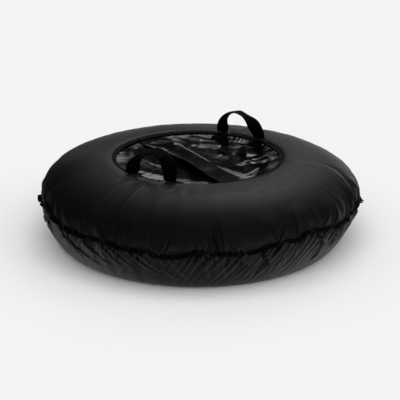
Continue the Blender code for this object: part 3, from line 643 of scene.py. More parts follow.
class Finish(Nodes):
    """A Principled material whose colour, roughness and bump come from nodes."""

    def __init__(self, name, roughness, metallic=0.0, specular=0.5):
        self.made = bpy.data.materials.new(name)
        self.made.use_nodes = True
        super().__init__(self.made.node_tree)
        self.shader = self.tree.nodes["Principled BSDF"]
        self.shader.inputs["Metallic"].default_value = metallic
        self.shader.inputs["Roughness"].default_value = roughness
        self.shader.inputs["Specular IOR Level"].default_value = specular
        self.bump_normal = None

    def place(self, from_cloth):
        """Where patterns are read: on the flat cloth where the piece has it, and otherwise in the object."""
        if from_cloth:
            return self.add("ShaderNodeAttribute", attribute_name="cloth").outputs["Vector"]
        return self.add("ShaderNodeTexCoord").outputs["Object"]

    def noise(self, place, size, detail=3.0, rough=0.5):
        """Noise with features of about that size in metres."""
        scaled = self.add("ShaderNodeVectorMath", operation="MULTIPLY")
        self.link(place, scaled.inputs[0])
        scaled.inputs[1].default_value = [1 / size] * 3
        node = self.add("ShaderNodeTexNoise")
        node.inputs["Scale"].default_value = 1.0
        node.inputs["Detail"].default_value = detail
        node.inputs["Roughness"].default_value = rough
        self.link(scaled.outputs[0], node.inputs["Vector"])
        return node.outputs["Fac"]

    def colour(self, share, dark, light):
        """The shader's colour, from dark to light as share goes from 0 to 1."""
        node = self.add("ShaderNodeMix", data_type="RGBA")
        self.link(share, node.inputs["Factor"])
        node.inputs["A"].default_value = (*dark, 1)
        node.inputs["B"].default_value = (*light, 1)
        self.link(node.outputs["Result"], self.shader.inputs["Base Color"])

    def rough(self, value, low, high):
        self.link(self.range(value, *NOISE_RANGE, low, high), self.shader.inputs["Roughness"])

    def bump(self, height, distance, strength=1.0):
        node = self.add("ShaderNodeBump")
        node.inputs["Distance"].default_value = distance
        node.inputs["Strength"].default_value = strength
        self.link(height, node.inputs["Height"])
        if self.bump_normal is not None:
            self.link(self.bump_normal, node.inputs["Normal"])
        self.bump_normal = node.outputs["Normal"]
        self.link(self.bump_normal, self.shader.inputs["Normal"])

    def weave(self, place, pitch):
        """Over-and-under threads, as a height from 0 to 1."""
        parts = self.axes(place)
        turns = math.tau / pitch
        first = self.math("SINE", self.math("MULTIPLY", parts[0], turns))
        second = self.math("SINE", self.math("MULTIPLY", parts[1], turns))
        return self.math("MULTIPLY_ADD", self.math("MULTIPLY", first, second), 0.5, 0.5)

    def ribs(self, place, pitch, axis):
        """Ribs across one axis of the cloth, as a height from 0 to 1."""
        wave = self.math("SINE", self.math("MULTIPLY", self.axes(place)[axis], math.tau / pitch))
        return self.math("MULTIPLY_ADD", wave, 0.5, 0.5)


def cloth_finish(name, roughness, specular, tones, gloss, bumps):
    """Cloth. tones: noise (size, detail), dark and light. gloss: noise, lowest and highest roughness.

    Each bump is (kind of pattern, its values, depth, strength).
    """
    finish = Finish(name, roughness, specular=specular)
    place = finish.place(True)
    size, detail, dark, light = tones
    finish.colour(finish.noise(place, size, detail, TONE_ROUGHNESS), dark, light)
    size, detail, low, high = gloss
    finish.rough(finish.noise(place, size, detail), low, high)
    patterns = {"noise": finish.noise, "weave": finish.weave, "ribs": finish.ribs}
    for kind, values, depth, strength in bumps:
        finish.bump(patterns[kind](place, *values), depth, strength)
    return finish.made


def cover_fabric():
    tones = (0.05, 5, (0.026, 0.026, 0.027), (0.034, 0.034, 0.035))
    bumps = (("noise", (0.035, 3, 0.5), 0.0012, 0.3), ("weave", (0.0011,), 0.00008, 0.5))
    return cloth_finish("cover_fabric", 0.45, 0.5, tones, (0.02, 4, 0.41, 0.50), bumps)


def coated_base():
    tones = (0.04, 5, (0.010, 0.010, 0.0105), (0.017, 0.017, 0.018))
    bumps = (("noise", (0.022, 4, 0.5), 0.002, 0.4), ("weave", (0.0012,), 0.00006, 0.35))
    return cloth_finish("coated_base", 0.28, 0.5, tones, (0.03, 4, 0.22, 0.34), bumps)


def coated_seat():
    tones = (0.05, 4, (0.008, 0.008, 0.0085), (0.014, 0.014, 0.015))
    bumps = (("noise", (0.030, 3, 0.45), 0.0016, 0.35),)
    return cloth_finish("coated_seat", 0.12, 0.5, tones, (0.025, 4, 0.10, 0.16), bumps)


def edge_tape():
    tones = (0.012, 4, (0.009, 0.009, 0.0095), (0.015, 0.015, 0.0155))
    bumps = (("noise", (0.008, 3), 0.0006, 0.3), ("ribs", (0.0016, 0), 0.00012, 0.6))
    return cloth_finish("edge_tape", 0.7, 0.2, tones, (0.01, 3, 0.64, 0.76), bumps)


def webbing():
    tones = (0.01, 4, (0.0016, 0.0016, 0.0017), (0.0036, 0.0036, 0.0038))
    bumps = (("ribs", (0.0022, 1), 0.0003, 0.7), ("weave", (0.0016,), 0.0002, 0.6))
    return cloth_finish("webbing", 0.75, 0.25, tones, (0.006, 3, 0.68, 0.84), bumps)


def plain_finish(name, dark, light, roughness, metallic=0.0, grain=0.002, depth=0.0001):
    """Rubber, metal or moulded plastic: fine grain, with soft changes of tone and polish."""
    finish = Finish(name, roughness, metallic)
    place = finish.place(False)
    finish.colour(finish.noise(place, grain * 6, 4, TONE_ROUGHNESS), dark, light)
    finish.rough(finish.noise(place, grain * 3, 4), roughness * 0.85, min(1.0, roughness * 1.2))
    finish.bump(finish.noise(place, grain, 4, TONE_ROUGHNESS), depth, 0.6)
    return finish.made


# The cover's outline, and where the seam lies on it


def bend(exponent, angle):
    """(across, up) of a rounded quarter, as shares of its reach."""
    across = abs(math.cos(angle)) ** (2 / exponent) if angle < math.pi / 2 else 0.0
    return across, math.sin(angle) ** (2 / exponent)


def outline_points():
    """The outline from the ring outward and down to where it leaves the ground, in short steps."""
    points = [(RING_RADIUS, RING_HEIGHT)]
    for share in np.linspace(0.1, 0.9, RISE_STEPS):
        radius = RING_RADIUS + (CREST_RADIUS - RING_RADIUS) * share
        points.append((radius, CREST_HEIGHT - (CREST_HEIGHT - RING_HEIGHT) * (1 - share) ** 2))
    for angle in np.radians(np.linspace(90, 0, 181)):
        across, up = bend(TOP_EXPONENT, angle)
        radius = CREST_RADIUS + (SEAM_RADIUS - CREST_RADIUS) * across
        points.append((radius, SEAM_HEIGHT + (CREST_HEIGHT - SEAM_HEIGHT) * up))
    for angle in np.radians(np.linspace(0.5, 90, 180)):
        across, down = bend(BOTTOM_EXPONENT, angle)
        radius = CONTACT_RADIUS + (SEAM_RADIUS - CONTACT_RADIUS) * across
        points.append((radius, SEAM_HEIGHT * (1 - down)))
    return np.array(points)


OUTLINE = outline_points()
OUTLINE_RUN = np.concatenate([[0], np.cumsum(np.linalg.norm(np.diff(OUTLINE, axis=0), axis=1))])
CONTACT_RUN = float(OUTLINE_RUN[-1])


def smoothed_normals():
    slope = np.gradient(OUTLINE, OUTLINE_RUN, axis=0)
    kernel = np.hanning(25)
    kernel /= kernel.sum()
    padded = np.pad(slope, ((12, 12), (0, 0)), mode="edge")
    slope = np.stack([np.convolve(padded[:, k], kernel, "valid") for k in (0, 1)], axis=1)
    slope /= np.linalg.norm(slope, axis=1)[:, None]
    return np.stack([-slope[:, 1], slope[:, 0]], axis=1)


OUTLINE_NORMAL = smoothed_normals()


def on_outline(run):
    """(radius, height, outward normal's radius part and height part) at a distance along the outline."""
    return [np.interp(run, OUTLINE_RUN, column) for column in (*OUTLINE.T, *OUTLINE_NORMAL.T)]


def run_at_height(height):
    falling = slice(RISE_STEPS + 1, None)
    return np.interp(-height, -OUTLINE[falling, 1], OUTLINE_RUN[falling])


def seam_heights():
    """The seam's height at small steps round the ring: as seen in front, and of the same kind behind."""
    rolls = np.random.default_rng(5)
    knots = list(SEAM_WAVE)
    azimuth = SEAM_WAVE[-1][0] + WAVE_STEP
    while azimuth < SEAM_WAVE[0][0] + 360 - WAVE_STEP / 2:
        knots.append((azimuth, SEAM_HEIGHT + rolls.uniform(-1, 1) * WAVE_SPREAD))
        azimuth += WAVE_STEP * rolls.uniform(0.6, 1.2)
    angles = np.arange(0, 360, SEAM_STEP)
    turns, heights = np.array(knots).T
    raw = np.interp((angles - turns[0]) % 360, turns - turns[0], heights, period=360)
    kernel = np.exp(-0.5 * (np.arange(-SEAM_REACH, SEAM_REACH + 1) * SEAM_STEP / WAVE_SMOOTHING) ** 2)
    kernel /= kernel.sum()
    wrapped = np.concatenate([raw[-SEAM_REACH:], raw, raw[:SEAM_REACH]])
    return angles, np.convolve(wrapped, kernel, "valid")


SEAM_ANGLES, SEAM_HEIGHTS = seam_heights()


def seam_height(azimuth):
    return np.interp(azimuth % 360, SEAM_ANGLES, SEAM_HEIGHTS, period=360)


def hidden_folds():
    """Folds of the top cover for the side that the photograph doesn't show."""
    kind = HIDDEN_FOLDS
    rolls = np.random.default_rng(kind["seed"])
    azimuth = kind["first"]
    while azimuth < kind["last"]:
        lean = rolls.uniform(-kind["lean"], kind["lean"])
        length = rolls.uniform(*kind["length"])
        height = rolls.uniform(*kind["height"])
        if azimuth > kind["low_from"]:
            height *= kind["low_share"]
        yield azimuth % 360, (azimuth + lean) % 360, length, height
        azimuth += rolls.uniform(*kind["step"])


def hidden_creases():
    """Creases of the top cover for that side."""
    kind = HIDDEN_CREASES
    rolls = np.random.default_rng(kind["seed"])
    azimuth = kind["first"]
    while azimuth < kind["last"]:
        lean = rolls.uniform(-kind["lean"], kind["lean"])
        yield azimuth % 360, (azimuth + lean) % 360, rolls.uniform(*kind["top"])
        azimuth += rolls.uniform(*kind["step"])


def hidden_lines(seed, step, depths, widths):
    """Grooves or streaks of the bottom cover for that side."""
    kind = HIDDEN_LINES
    rolls = np.random.default_rng(seed)
    azimuth = kind["first"]
    while azimuth < kind["last"]:
        start = kind["start"] - rolls.uniform(0, kind["start_drop"])
        end = start - rolls.uniform(*kind["length"])
        lean = rolls.uniform(-kind["lean"], kind["lean"])
        turn = rolls.uniform(-kind["bend"], kind["bend"])
        middle = (azimuth + lean / 2 + turn, (start + end) / 2)
        points = ((azimuth, start), middle, (azimuth + lean, end))
        yield rolls.uniform(*depths), rolls.uniform(*widths), points
        azimuth += rolls.uniform(*kind["step"]) * step


FOLDS = [*TOP_FOLDS, *hidden_folds()]
CREASES = [*TOP_CREASES, *hidden_creases()]
GROOVES = [*BOTTOM_GROOVES, *hidden_lines(31, 8.0, (0.005, 0.010), (0.004, 0.0055))]
STREAKS = [*BOTTOM_STREAKS, *hidden_lines(32, 5.0, (0.003, 0.006), (0.004, 0.006))]

# Metres of seam to a degree
DEGREE = math.radians(SEAM_RADIUS)


def drawn_in(azimuth, away):
    """How far the left flank is drawn in, at a distance from the seam."""
    return LEFT_DRAW * near(azimuth, LEFT_AZIMUTH, LEFT_SPREAD) * bell(away, 0.0, LEFT_REACH)


def creases(azimuth, above):
    """Narrow valleys that taper out as they rise from the seam, each between two low swellings."""
    total = np.zeros(np.broadcast(azimuth, above).shape)
    for start, end, top in CREASES:
        length = float(run_at_height(seam_height(start)) - run_at_height(top))
        share = np.clip(above / length, 0, 1)
        line = start + turn_between(end, start) * share
        across = np.abs(turn_between(azimuth, line)) * DEGREE
        wide = CREASE_WIDTH * (1 - CREASE_NARROWING * share)
        valley = np.exp(-((across / wide) ** CREASE_SHARPNESS))
        total -= CREASE_DEPTH * (1 - share) ** CREASE_FADE * (valley - flank(across, wide, 0, CREASE_FLANK))
    return total


def top_relief(azimuth, above):
    """How far the top cover stands out of its outline. above is the run of cloth from the seam."""
    ridge = np.zeros(np.broadcast(azimuth, above).shape)
    proud = np.zeros_like(ridge)
    for start, end, length, height in FOLDS:
        share = np.clip(above / length, 0, 1)
        line = start + turn_between(end, start) * share**FOLD_BEND
        across = np.abs(turn_between(azimuth, line)) * DEGREE
        wide = FOLD_WIDTH * (FOLD_START + FOLD_GROWTH * share)
        sharp = np.exp(-((across / wide) ** FOLD_SHARPNESS))
        ridge = np.maximum(ridge, sharp * (1 - FOLD_SHARE * share))
        proud = np.maximum(proud, height * FOLD_SHARE * sharp * (1 - share) ** FOLD_FADE)
    calm = 1 - CALM * near(azimuth, CALM_AZIMUTH, CALM_SPREAD)
    ridge = ridge * calm + (1 - calm) * CALM_RIDGE
    depth = PIT_DEPTH * wandering(azimuth, "pit_depth", *PIT_DEPTH_SWING)
    reach = PIT_REACH * wandering(azimuth, "pit_reach", *PIT_REACH_SWING)
    pit = -np.clip(depth, *PIT_LIMITS) * (1 - ridge) * np.exp(-((above / reach) ** PIT_SHARPNESS))
    billow = BILLOW_HEIGHT * bell(above, BILLOW_PLACE, BILLOW_WIDTH)
    billow = billow * (1 + BILLOW_SWING * round_waves(azimuth, "billow"))
    slack = slack_waves(azimuth, "top_fine", above, *TOP_FINE) * ease(above / TOP_FINE_START)
    slack += slack_waves(azimuth, "top_broad", above, *TOP_BROAD)
    return pit + proud * calm + billow + slack * calm + creases(azimuth, above) - drawn_in(azimuth, above)


def slack_waves(azimuth, name, away, height, reach):
    return height * round_waves(azimuth, name) * np.exp(-away / reach)


def deep_fold(azimuth, height):
    """The long fold of the right flank."""
    first = DEEP_FOLD[0][0]
    points = [(math.radians(a) * SEAM_RADIUS, h) for a, h in DEEP_FOLD]
    x = math.radians(first) * SEAM_RADIUS + turn_between(azimuth, first) * DEGREE
    away, side, share = nearest_on_line(x, height, points)
    wide = DEEP_FOLD_WIDTH * (1 + DEEP_FOLD_GROWTH * share)
    fade = np.clip(1 - share, 0, 1) ** DEEP_FOLD_FADE
    lip = flank(away, wide, side, DEEP_FLANK)
    return DEEP_FOLD_DEPTH * fade * (-np.exp(-away / wide) + lip)


def bottom_relief(azimuth, height, below):
    """How far the bottom cover stands out of its outline. below is the distance from the seam."""
    total = np.zeros(np.broadcast(azimuth, height).shape)
    for lines, sign in ((GROOVES, -1), (STREAKS, 1)):
        for depth, width, points in lines:
            middle = points[len(points) // 2][0]
            columns = (np.abs(turn_between(azimuth, middle)) < LINE_REACH).any(axis=1)
            x = turn_between(azimuth[columns], middle) * DEGREE
            flat = [(turn_between(a, middle) * DEGREE, h) for a, h in points]
            away, side, share = nearest_on_line(x, height[columns], flat)
            wide = LINE_WIDTH * width * (LINE_GROWTH[0] + LINE_GROWTH[1] * share)
            core = np.exp(-((away / wide) ** LINE_SHARPNESS))
            rise = LINE_RISE[0] + LINE_RISE[1] * ease(share / LINE_RISE_SHARE)
            fade = np.clip(1 - share, 0, 1) ** LINE_FADE * rise
            total[columns] += sign * depth * fade * (core - flank(away, wide, side, LINE_FLANK))
    pit = -PIT_DEPTH * wandering(azimuth, "low_pit", *LOW_PIT_SWING)
    total += np.clip(pit, -LOW_PIT_LIMIT, 0.0) * np.exp(-((below / LOW_PIT_REACH) ** LOW_PIT_SHARPNESS))
    fine = slack_waves(azimuth + LOW_FINE_LEAN * below / 0.1, "low_fine", below, *LOW_FINE)
    total += fine * ease(below / LOW_FINE_START)
    total += slack_waves(azimuth, "low_broad", below, *LOW_BROAD)
    total -= drawn_in(azimuth, below)
    return total * ease((height - FOOT_CLEAR) / FOOT_BLEND)


def seam_relief(azimuth):
    """The seam's own way in and out, which both covers and the tape share."""
    zero = np.zeros_like(azimuth)
    top = top_relief(azimuth, zero)
    height = seam_height(azimuth)
    bottom = bottom_relief(azimuth[:, None], height[:, None], zero[:, None])[:, 0]
    return TOP_SHARE * top + (1 - TOP_SHARE) * bottom - SEAM_INSET


def plan(azimuth, radius):
    """x and y of places round the ring."""
    angle = np.radians(azimuth)
    return radius * np.cos(angle), radius * np.sin(angle)


def ring_points(azimuth, radius, height):
    return np.stack([*plan(azimuth, radius), height], axis=-1)


def droop_angle(azimuth):
    """How far the seam's tape hangs below the horizontal, in degrees."""
    angle = DROOP + DROOP_SPREAD * round_waves(azimuth, "droop")
    lifted = sum(near(azimuth, middle, spread) * lift for middle, spread, lift in LIFTED)
    return np.clip(angle - lifted, *DROOP_LIMITS)


def flap_place(azimuth, out, up):
    """A place on the seam's flap: out along it from the seam, up across its thickness."""
    radius, level, _, _ = on_outline(run_at_height(seam_height(azimuth)))
    radius = radius + seam_relief(azimuth)
    droop = np.radians(droop_angle(azimuth))
    up = up + CURL_HEIGHT * round_waves(azimuth, "curl") * (np.clip(out, 0, 1) / TAPE_WIDTH) ** CURL_EXPONENT
    ruffle = sum(depth * near(azimuth, middle, spread) for middle, spread, depth in RUFFLES)
    tooth = np.abs(((azimuth + RUFFLE_WANDER * round_waves(azimuth, "tooth")) / RUFFLE_STEP) % 1 - 0.5) * 2
    out = out * (1 + ruffle / TAPE_WIDTH * (RUFFLE_SWING * tooth - RUFFLE_OFFSET))
    away = radius + out * np.cos(droop) + up * np.sin(droop)
    return ring_points(azimuth, away, level - out * np.sin(droop) + up * np.cos(droop))


def with_seam(azimuth, relief, away):
    """Relief that runs over into the seam's own where it comes near it."""
    blend = ease(away / SEAM_BLEND)
    return relief * blend + seam_relief(azimuth)[:, None] * (1 - blend)


def leg_dents(x, y):
    """Soft hollows in the top cover round the handles' legs, on both sides alike."""
    total = np.zeros_like(x)
    for turn in (0.0, 180.0):
        for azimuth, radius, depth, size in LEG_DENTS:
            angle = math.radians(azimuth + turn)
            away = (x - radius * math.cos(angle)) ** 2 + (y - radius * math.sin(angle)) ** 2
            total -= depth * np.exp(-away / size**2)
    return total


def top_cover(name, first, finish):
    """Half of the top cover, from the ring to inside the seam's tape."""
    azimuth = first + np.linspace(0, 180, COLUMNS_PER_HALF + 1)
    shares = np.linspace(0, 1, TOP_ROWS) ** TOP_ROW_EXPONENT
    seam_run = run_at_height(seam_height(azimuth))
    run = seam_run[:, None] * (1 - shares[None, :])
    above = seam_run[:, None] - run
    angle = np.broadcast_to(azimuth[:, None], run.shape)
    radius, height, out, up = on_outline(run)
    relief = with_seam(azimuth, top_relief(angle, above) + deep_fold(angle, height), above)
    x, y = plan(angle, radius)
    swell = SWELL_HEIGHT * field(x, y, 51, SWELL_SIZE)
    relief += swell * ease(run / SWELL_FROM_RING) * ease(above / SWELL_FROM_SEAM)
    relief += leg_dents(x, y)
    to_join = np.minimum(np.abs(turn_between(angle, 0)), np.abs(turn_between(angle, 180)))
    join = to_join * math.radians(1) * radius
    swelling, place, width = JOIN_SWELLING
    relief -= JOIN_DEPTH * bell(join, 0.0, JOIN_WIDTH) * ease(run / JOIN_START)
    relief += swelling * bell(join, place, width) * ease(run / JOIN_START)
    relief -= RING_DIP * np.exp(-run / RING_DIP_REACH)
    points = ring_points(angle, radius + relief * out, height + relief * up)
    cloth = np.stack(plan(angle, RING_RADIUS + run), axis=-1)
    tuck = flap_place(azimuth, np.full_like(azimuth, TUCK), TUCK_ABOVE)
    points = np.concatenate([points[:, ::-1], tuck[:, None]], axis=1)
    cloth = np.concatenate([cloth[:, ::-1], cloth[:, :1]], axis=1)
    quads = grid_quads(COLUMNS_PER_HALF + 1, TOP_ROWS + 1)
    return sheet_mesh(name, points, quads, cloth, FABRIC, finish)


def taper_to_middle(points, cloth, ring):
    """Closes a round hole with rings of half as many points each, and a fan at the middle."""
    tris = []
    count = len(ring)
    radius = np.hypot(points[ring[0], 0], points[ring[0], 1])
    while count % 2 == 0 and count > TAPER_END:
        radius *= TAPER
        half = count // 2
        angle = np.arctan2(points[ring[::2], 1], points[ring[::2], 0])
        new = np.stack([radius * np.cos(angle), radius * np.sin(angle), points[ring[::2], 2]], axis=1)
        inner = len(points) + np.arange(half)
        points = np.concatenate([points, new])
        cloth = np.concatenate([cloth, new[:, :2]])
        nxt = np.roll(inner, -1)
        a, b, c = ring[::2], ring[1::2], np.roll(ring[::2], -1)
        tris += [np.stack(three, axis=1) for three in ((a, b, inner), (b, nxt, inner), (b, c, nxt))]
        ring, count = inner, half
    centre = len(points)
    points = np.concatenate([points, [[0, 0, points[ring[0], 2]]]])
    cloth = np.concatenate([cloth, [[0, 0]]])
    tris.append(np.stack([ring, np.roll(ring, -1), np.full(count, centre)], axis=1))
    return points, cloth, np.concatenate(tris)


def bottom_cover(finish):
    """The gathered wall and the flat base."""
    count = 2 * COLUMNS_PER_HALF
    azimuth = even_azimuths(count)
    seam_run = run_at_height(seam_height(azimuth))
    shares = np.linspace(0, 1, WALL_ROWS) ** WALL_ROW_EXPONENT
    run = seam_run[:, None] + (CONTACT_RUN - seam_run[:, None]) * shares[None, :]
    below = run - seam_run[:, None]
    angle = np.broadcast_to(azimuth[:, None], run.shape)
    radius, height, out, up = on_outline(run)
    relief = with_seam(azimuth, bottom_relief(angle, height, below), below)
    points = ring_points(angle, radius + relief * out, np.maximum(height + relief * up, 0.0))
    cloth = np.stack(plan(angle, CONTACT_RADIUS + CONTACT_RUN - run), axis=-1)
    tuck = flap_place(azimuth, np.full_like(azimuth, TUCK), TUCK_BELOW)
    points = np.concatenate([tuck[:, None], points], axis=1).reshape(-1, 3)
    cloth = np.concatenate([cloth[:, :1], cloth], axis=1).reshape(-1, 2)
    rows = WALL_ROWS + 1
    quads = grid_quads(count, rows, closed=True)[:, ::-1]
    points, cloth, tris = taper_to_middle(points, cloth, np.arange(count) * rows + rows - 1)
    return sheet_mesh("bottom_cover_cloth", points, quads, cloth, FABRIC, finish, tris[:, ::-1])


def perimeter_binding(finish):
    """Tape folded over the seam allowances, with a round outer edge."""
    azimuth = even_azimuths(TAPE_COLUMNS)
    half = TAPE_THICKNESS / 2
    upper = [(place, half * share) for place, share in TAPE_SECTION]
    section = [*upper, (TAPE_WIDTH, 0.0), *((place, -up) for place, up in reversed(upper))]
    puff = PUFF * round_waves(azimuth, "puff")
    columns = []
    for out, up in section:
        columns.append(flap_place(azimuth, np.full_like(azimuth, out), up + np.sign(up) * puff))
    across = np.cumsum([0] + [math.dist(a, b) for a, b in zip(section, section[1:])])
    cloth = grid_cloth(np.radians(azimuth) * SEAM_RADIUS, across)
    quads = grid_quads(TAPE_COLUMNS, len(section), closed=True, tube=True)[:, TURNED]
    return build_mesh("perimeter_binding_tape", np.stack(columns, axis=1), quads, cloth, finish)


# Ring band and seat


def surface_height(radius):
    """Height of the finished top surface inside the ring."""
    return RING_HEIGHT - DISH_DEPTH * (1 - (radius / RING_RADIUS) ** 2)


def ring_band(finish):
    """The tape round the seat opening, with its two lines of stitching sunk in."""
    azimuth = even_azimuths(BAND_COLUMNS)
    radii = np.linspace(BAND_INNER_RADIUS, RING_RADIUS - GAP, BAND_ROWS)
    angle, radius = np.meshgrid(azimuth, radii, indexing="ij")
    share = (radius - radii[0]) / (radii[-1] - radii[0])
    height = surface_height(radius)
    for line in STITCH_LINES:
        height -= STITCH_DEPTH * bell(share, line, STITCH_WIDTH)
    height += EDGE_RISE * round_waves(angle, "band_edge") * np.exp(-share / EDGE_RISE_REACH)
    inward = EDGE_WANDER * round_waves(angle, "band_wander") * (1 - share)
    points = ring_points(angle, radius + inward, height)
    cloth = np.stack([np.radians(angle) * RING_RADIUS, radius], axis=-1)
    quads = grid_quads(BAND_COLUMNS, BAND_ROWS, closed=True)[:, ::-1]
    return sheet_mesh("ring_band_tape", points, quads, cloth, BAND_TAPE, finish)


def seat_shares(columns, rows):
    """Shares across and into a seat sheet's grid."""
    return np.linspace(-SEAT_ACROSS, SEAT_ACROSS, columns), np.linspace(0, 1, rows) ** SEAT_ROW_EXPONENT


def seat_grid(distance, outward, bow, shape):
    """Plan points of one seat sheet, from its straight edge (depth 0) to its round edge (depth 1)."""
    across, depth = seat_shares(*shape)
    across, depth = across[:, None], depth[None, :]
    half_angle = math.acos(distance / SEAT_RADIUS)
    turn = across * (half_angle if outward > 0 else math.pi - half_angle)
    drawn_back = bow * np.cos(across * math.pi / 2)
    along = (distance - drawn_back) * (1 - depth) + outward * SEAT_RADIUS * np.cos(turn) * depth
    side = SEAT_RADIUS * (math.sin(half_angle) * across * (1 - depth) + np.sin(turn) * depth)
    cos, sin = LIP_NORMAL
    return along * cos - side * sin, along * sin + side * cos


def lip_axes(x, y):
    """(distance behind the flap's straight edge, place along it) of plan points."""
    cos, sin = LIP_NORMAL
    return LIP_DISTANCE - (x * cos + y * sin), -x * sin + y * cos


# Seat folds as (height, width, points in plan); a minus height is a valley
FLAP_FOLDS = (
    (0.003, 0.009, ((0.06, 0.215), (0.074, 0.19), (0.077, 0.146), (0.08, 0.103), (0.078, 0.093))),
    (0.0024, 0.008, ((0.092, 0.205), (0.098, 0.16), (0.098, 0.12), (0.08, 0.096))),
    (0.0006, 0.005, ((0.078, 0.093), (0.044, 0.016), (0.011, -0.058), (-0.02, -0.115))),
    (0.0024, 0.016, ((0.138, 0.08), (0.152, 0.04), (0.162, 0.005))),
    (0.0022, 0.013, ((0.105, 0.03), (0.089, -0.002), (0.081, -0.036))),
    (0.0026, 0.014, ((0.173, -0.021), (0.184, -0.058), (0.162, -0.082), (0.066, -0.13), (-0.015, -0.168))),
    (0.0026, 0.011, ((0.06, -0.144), (0.092, -0.175), (0.134, -0.201))),
    (0.002, 0.011, ((0.062, -0.14), (0.095, -0.138), (0.12, -0.16))),
    (0.0012, 0.007, ((-0.061, -0.198), (0.01, -0.205), (0.08, -0.205), (0.13, -0.19))),
    (0.001, 0.006, ((-0.04, -0.215), (0.02, -0.218), (0.09, -0.214))),
    (0.002, 0.014, ((0.155, 0.18), (0.14, 0.13), (0.12, 0.08))),
    (0.0018, 0.012, ((0.185, 0.13), (0.18, 0.09), (0.19, 0.04))),
    (-0.002, 0.014, ((0.12, -0.06), (0.1, -0.095), (0.04, -0.125))),
)
PANEL_FOLDS = (
    (0.0026, 0.012, ((-0.085, 0.165), (-0.093, 0.145), (-0.114, 0.088), (-0.134, 0.033), (-0.15, -0.02))),
    (0.0022, 0.009, ((-0.07, 0.1), (-0.085, 0.08), (-0.122, 0.058))),
    (0.0018, 0.008, ((-0.045, 0.235), (-0.062, 0.215), (-0.081, 0.19))),
    (0.0018, 0.008, ((-0.011, 0.24), (-0.045, 0.215), (-0.081, 0.19))),
)
# Where the sheets pucker at the band: (azimuth, spread in degrees, height)
PUCKERS = ((112.0, 24.0, 0.0013), (255.0, 30.0, 0.0006), (330.0, 40.0, 0.0012))
PUCKER_REACH = 0.080
PUCKER_LEAN = 6
PUCKER_LEVEL = 0.5
PUCKER_START = 0.15
# The far half of the seat lies flatter than the dish, but for its outer part
FAR_AZIMUTH = 30.0
FAR_RISE = 0.006
FAR_START, FAR_BLEND = 0.15, 0.6
FAR_END, FAR_FADE = 0.10, 0.14
# The sheets are sewn down near the band, and their folds come in further inward
SEWN_EDGE, SEWN_BLEND = 0.016, 0.03
# The flap's finest creases and its far rise begin some way behind its edge
SMOOTH_CREST, CREST_BLEND = 0.030, 0.05
# The panel's hollow on the left, and how far its edge dips under the flap
HOLLOW_DEPTH = 0.0035
HOLLOW_AZIMUTH, HOLLOW_TURN = 152.0, 26.0
HOLLOW_RADIUS, HOLLOW_REACH = 0.175, 0.030
EDGE_DIP = 0.002


def azimuth_of(x, y):
    return np.degrees(np.arctan2(y, x))


def puckers(x, y):
    """Small radial wrinkles that run inward from the band."""
    azimuth = azimuth_of(x, y)
    inward = np.clip((SEAT_RADIUS - np.hypot(x, y)) / PUCKER_REACH, 0, 1)
    wave = np.abs(round_waves(azimuth + PUCKER_LEAN * inward, "pucker")) - PUCKER_LEVEL
    total = sum(height * near(azimuth, middle, spread) * wave for middle, spread, height in PUCKERS)
    return total * (1 - ease(inward)) * ease(inward / PUCKER_START)


def far_rise(x, y):
    radius = np.hypot(x, y)
    facing = np.cos(np.radians(azimuth_of(x, y) - FAR_AZIMUTH))
    far = ease((facing * radius / SEAT_RADIUS + FAR_START) / FAR_BLEND)
    return FAR_RISE * far * (1 - ease((radius - FAR_END) / FAR_FADE))


def fold_relief(x, y, folds):
    total = np.zeros_like(x)
    for height, width, points in folds:
        away, side, share = nearest_on_line(x, y, points)
        fade = ease(share / 0.15 + 0.35) * ease((1 - share) / 0.2 + 0.25)
        core = np.exp(-((away / width) ** 1.3))
        total += height * fade * (core - flank(away, width, side, SEAT_FLANK))
    return total


def crumple(x, y, seed, size):
    """Creased sheet: sharp ridges between smooth facets."""
    wx = x + 0.25 * size * field(x, y, seed + 1, size * 1.7)
    wy = y + 0.25 * size * field(x, y, seed + 2, size * 1.7)
    first = np.abs(field(wx, wy, seed + 3, size, 9))
    second = np.abs(field(wx, wy, seed + 4, size * 0.55, 9))
    return -(first + 0.5 * second)


def off_the_band(x, y):
    """0 close to the band, where the sheets are sewn down, and 1 further in."""
    return ease((SEAT_RADIUS - np.hypot(x, y) - SEWN_EDGE) / SEWN_BLEND)


def flap_points():
    """The flap: it stands up from its lip to a ridge behind it, and falls from there to the dish."""
    x, y = seat_grid(LIP_DISTANCE, -1, LIP_BOW, FLAP_GRID)
    behind, along = lip_axes(x, y)
    spread = np.clip(np.cos(np.clip(along / LIP_HALF_LENGTH, -1, 1) * math.pi / 2), 0, 1)
    lift = LIP_LIFT * spread**LIP_LIFT_EXPONENT * (1 - ease((behind - RIDGE_SETBACK) / RIDGE_FALL))
    height = surface_height(np.hypot(x, y)) - FLAP_DROP + lift
    inside = off_the_band(x, y)
    beyond = ease((behind - SMOOTH_CREST) / CREST_BLEND)
    height += fold_relief(x, y, FLAP_FOLDS) * inside + puckers(x, y) + far_rise(x, y) * beyond
    height += 0.0002 * crumple(x, y, 71, 0.14) * inside * beyond
    height += 0.0008 * field(x, y, 75, 0.11) * inside
    wander = 0.003 * field(along, 0 * along, 77, 0.11) * np.exp(-behind / 0.03) * spread
    cos, sin = LIP_NORMAL
    return np.stack([x - wander * cos, y - wander * sin, height], axis=-1), x, y


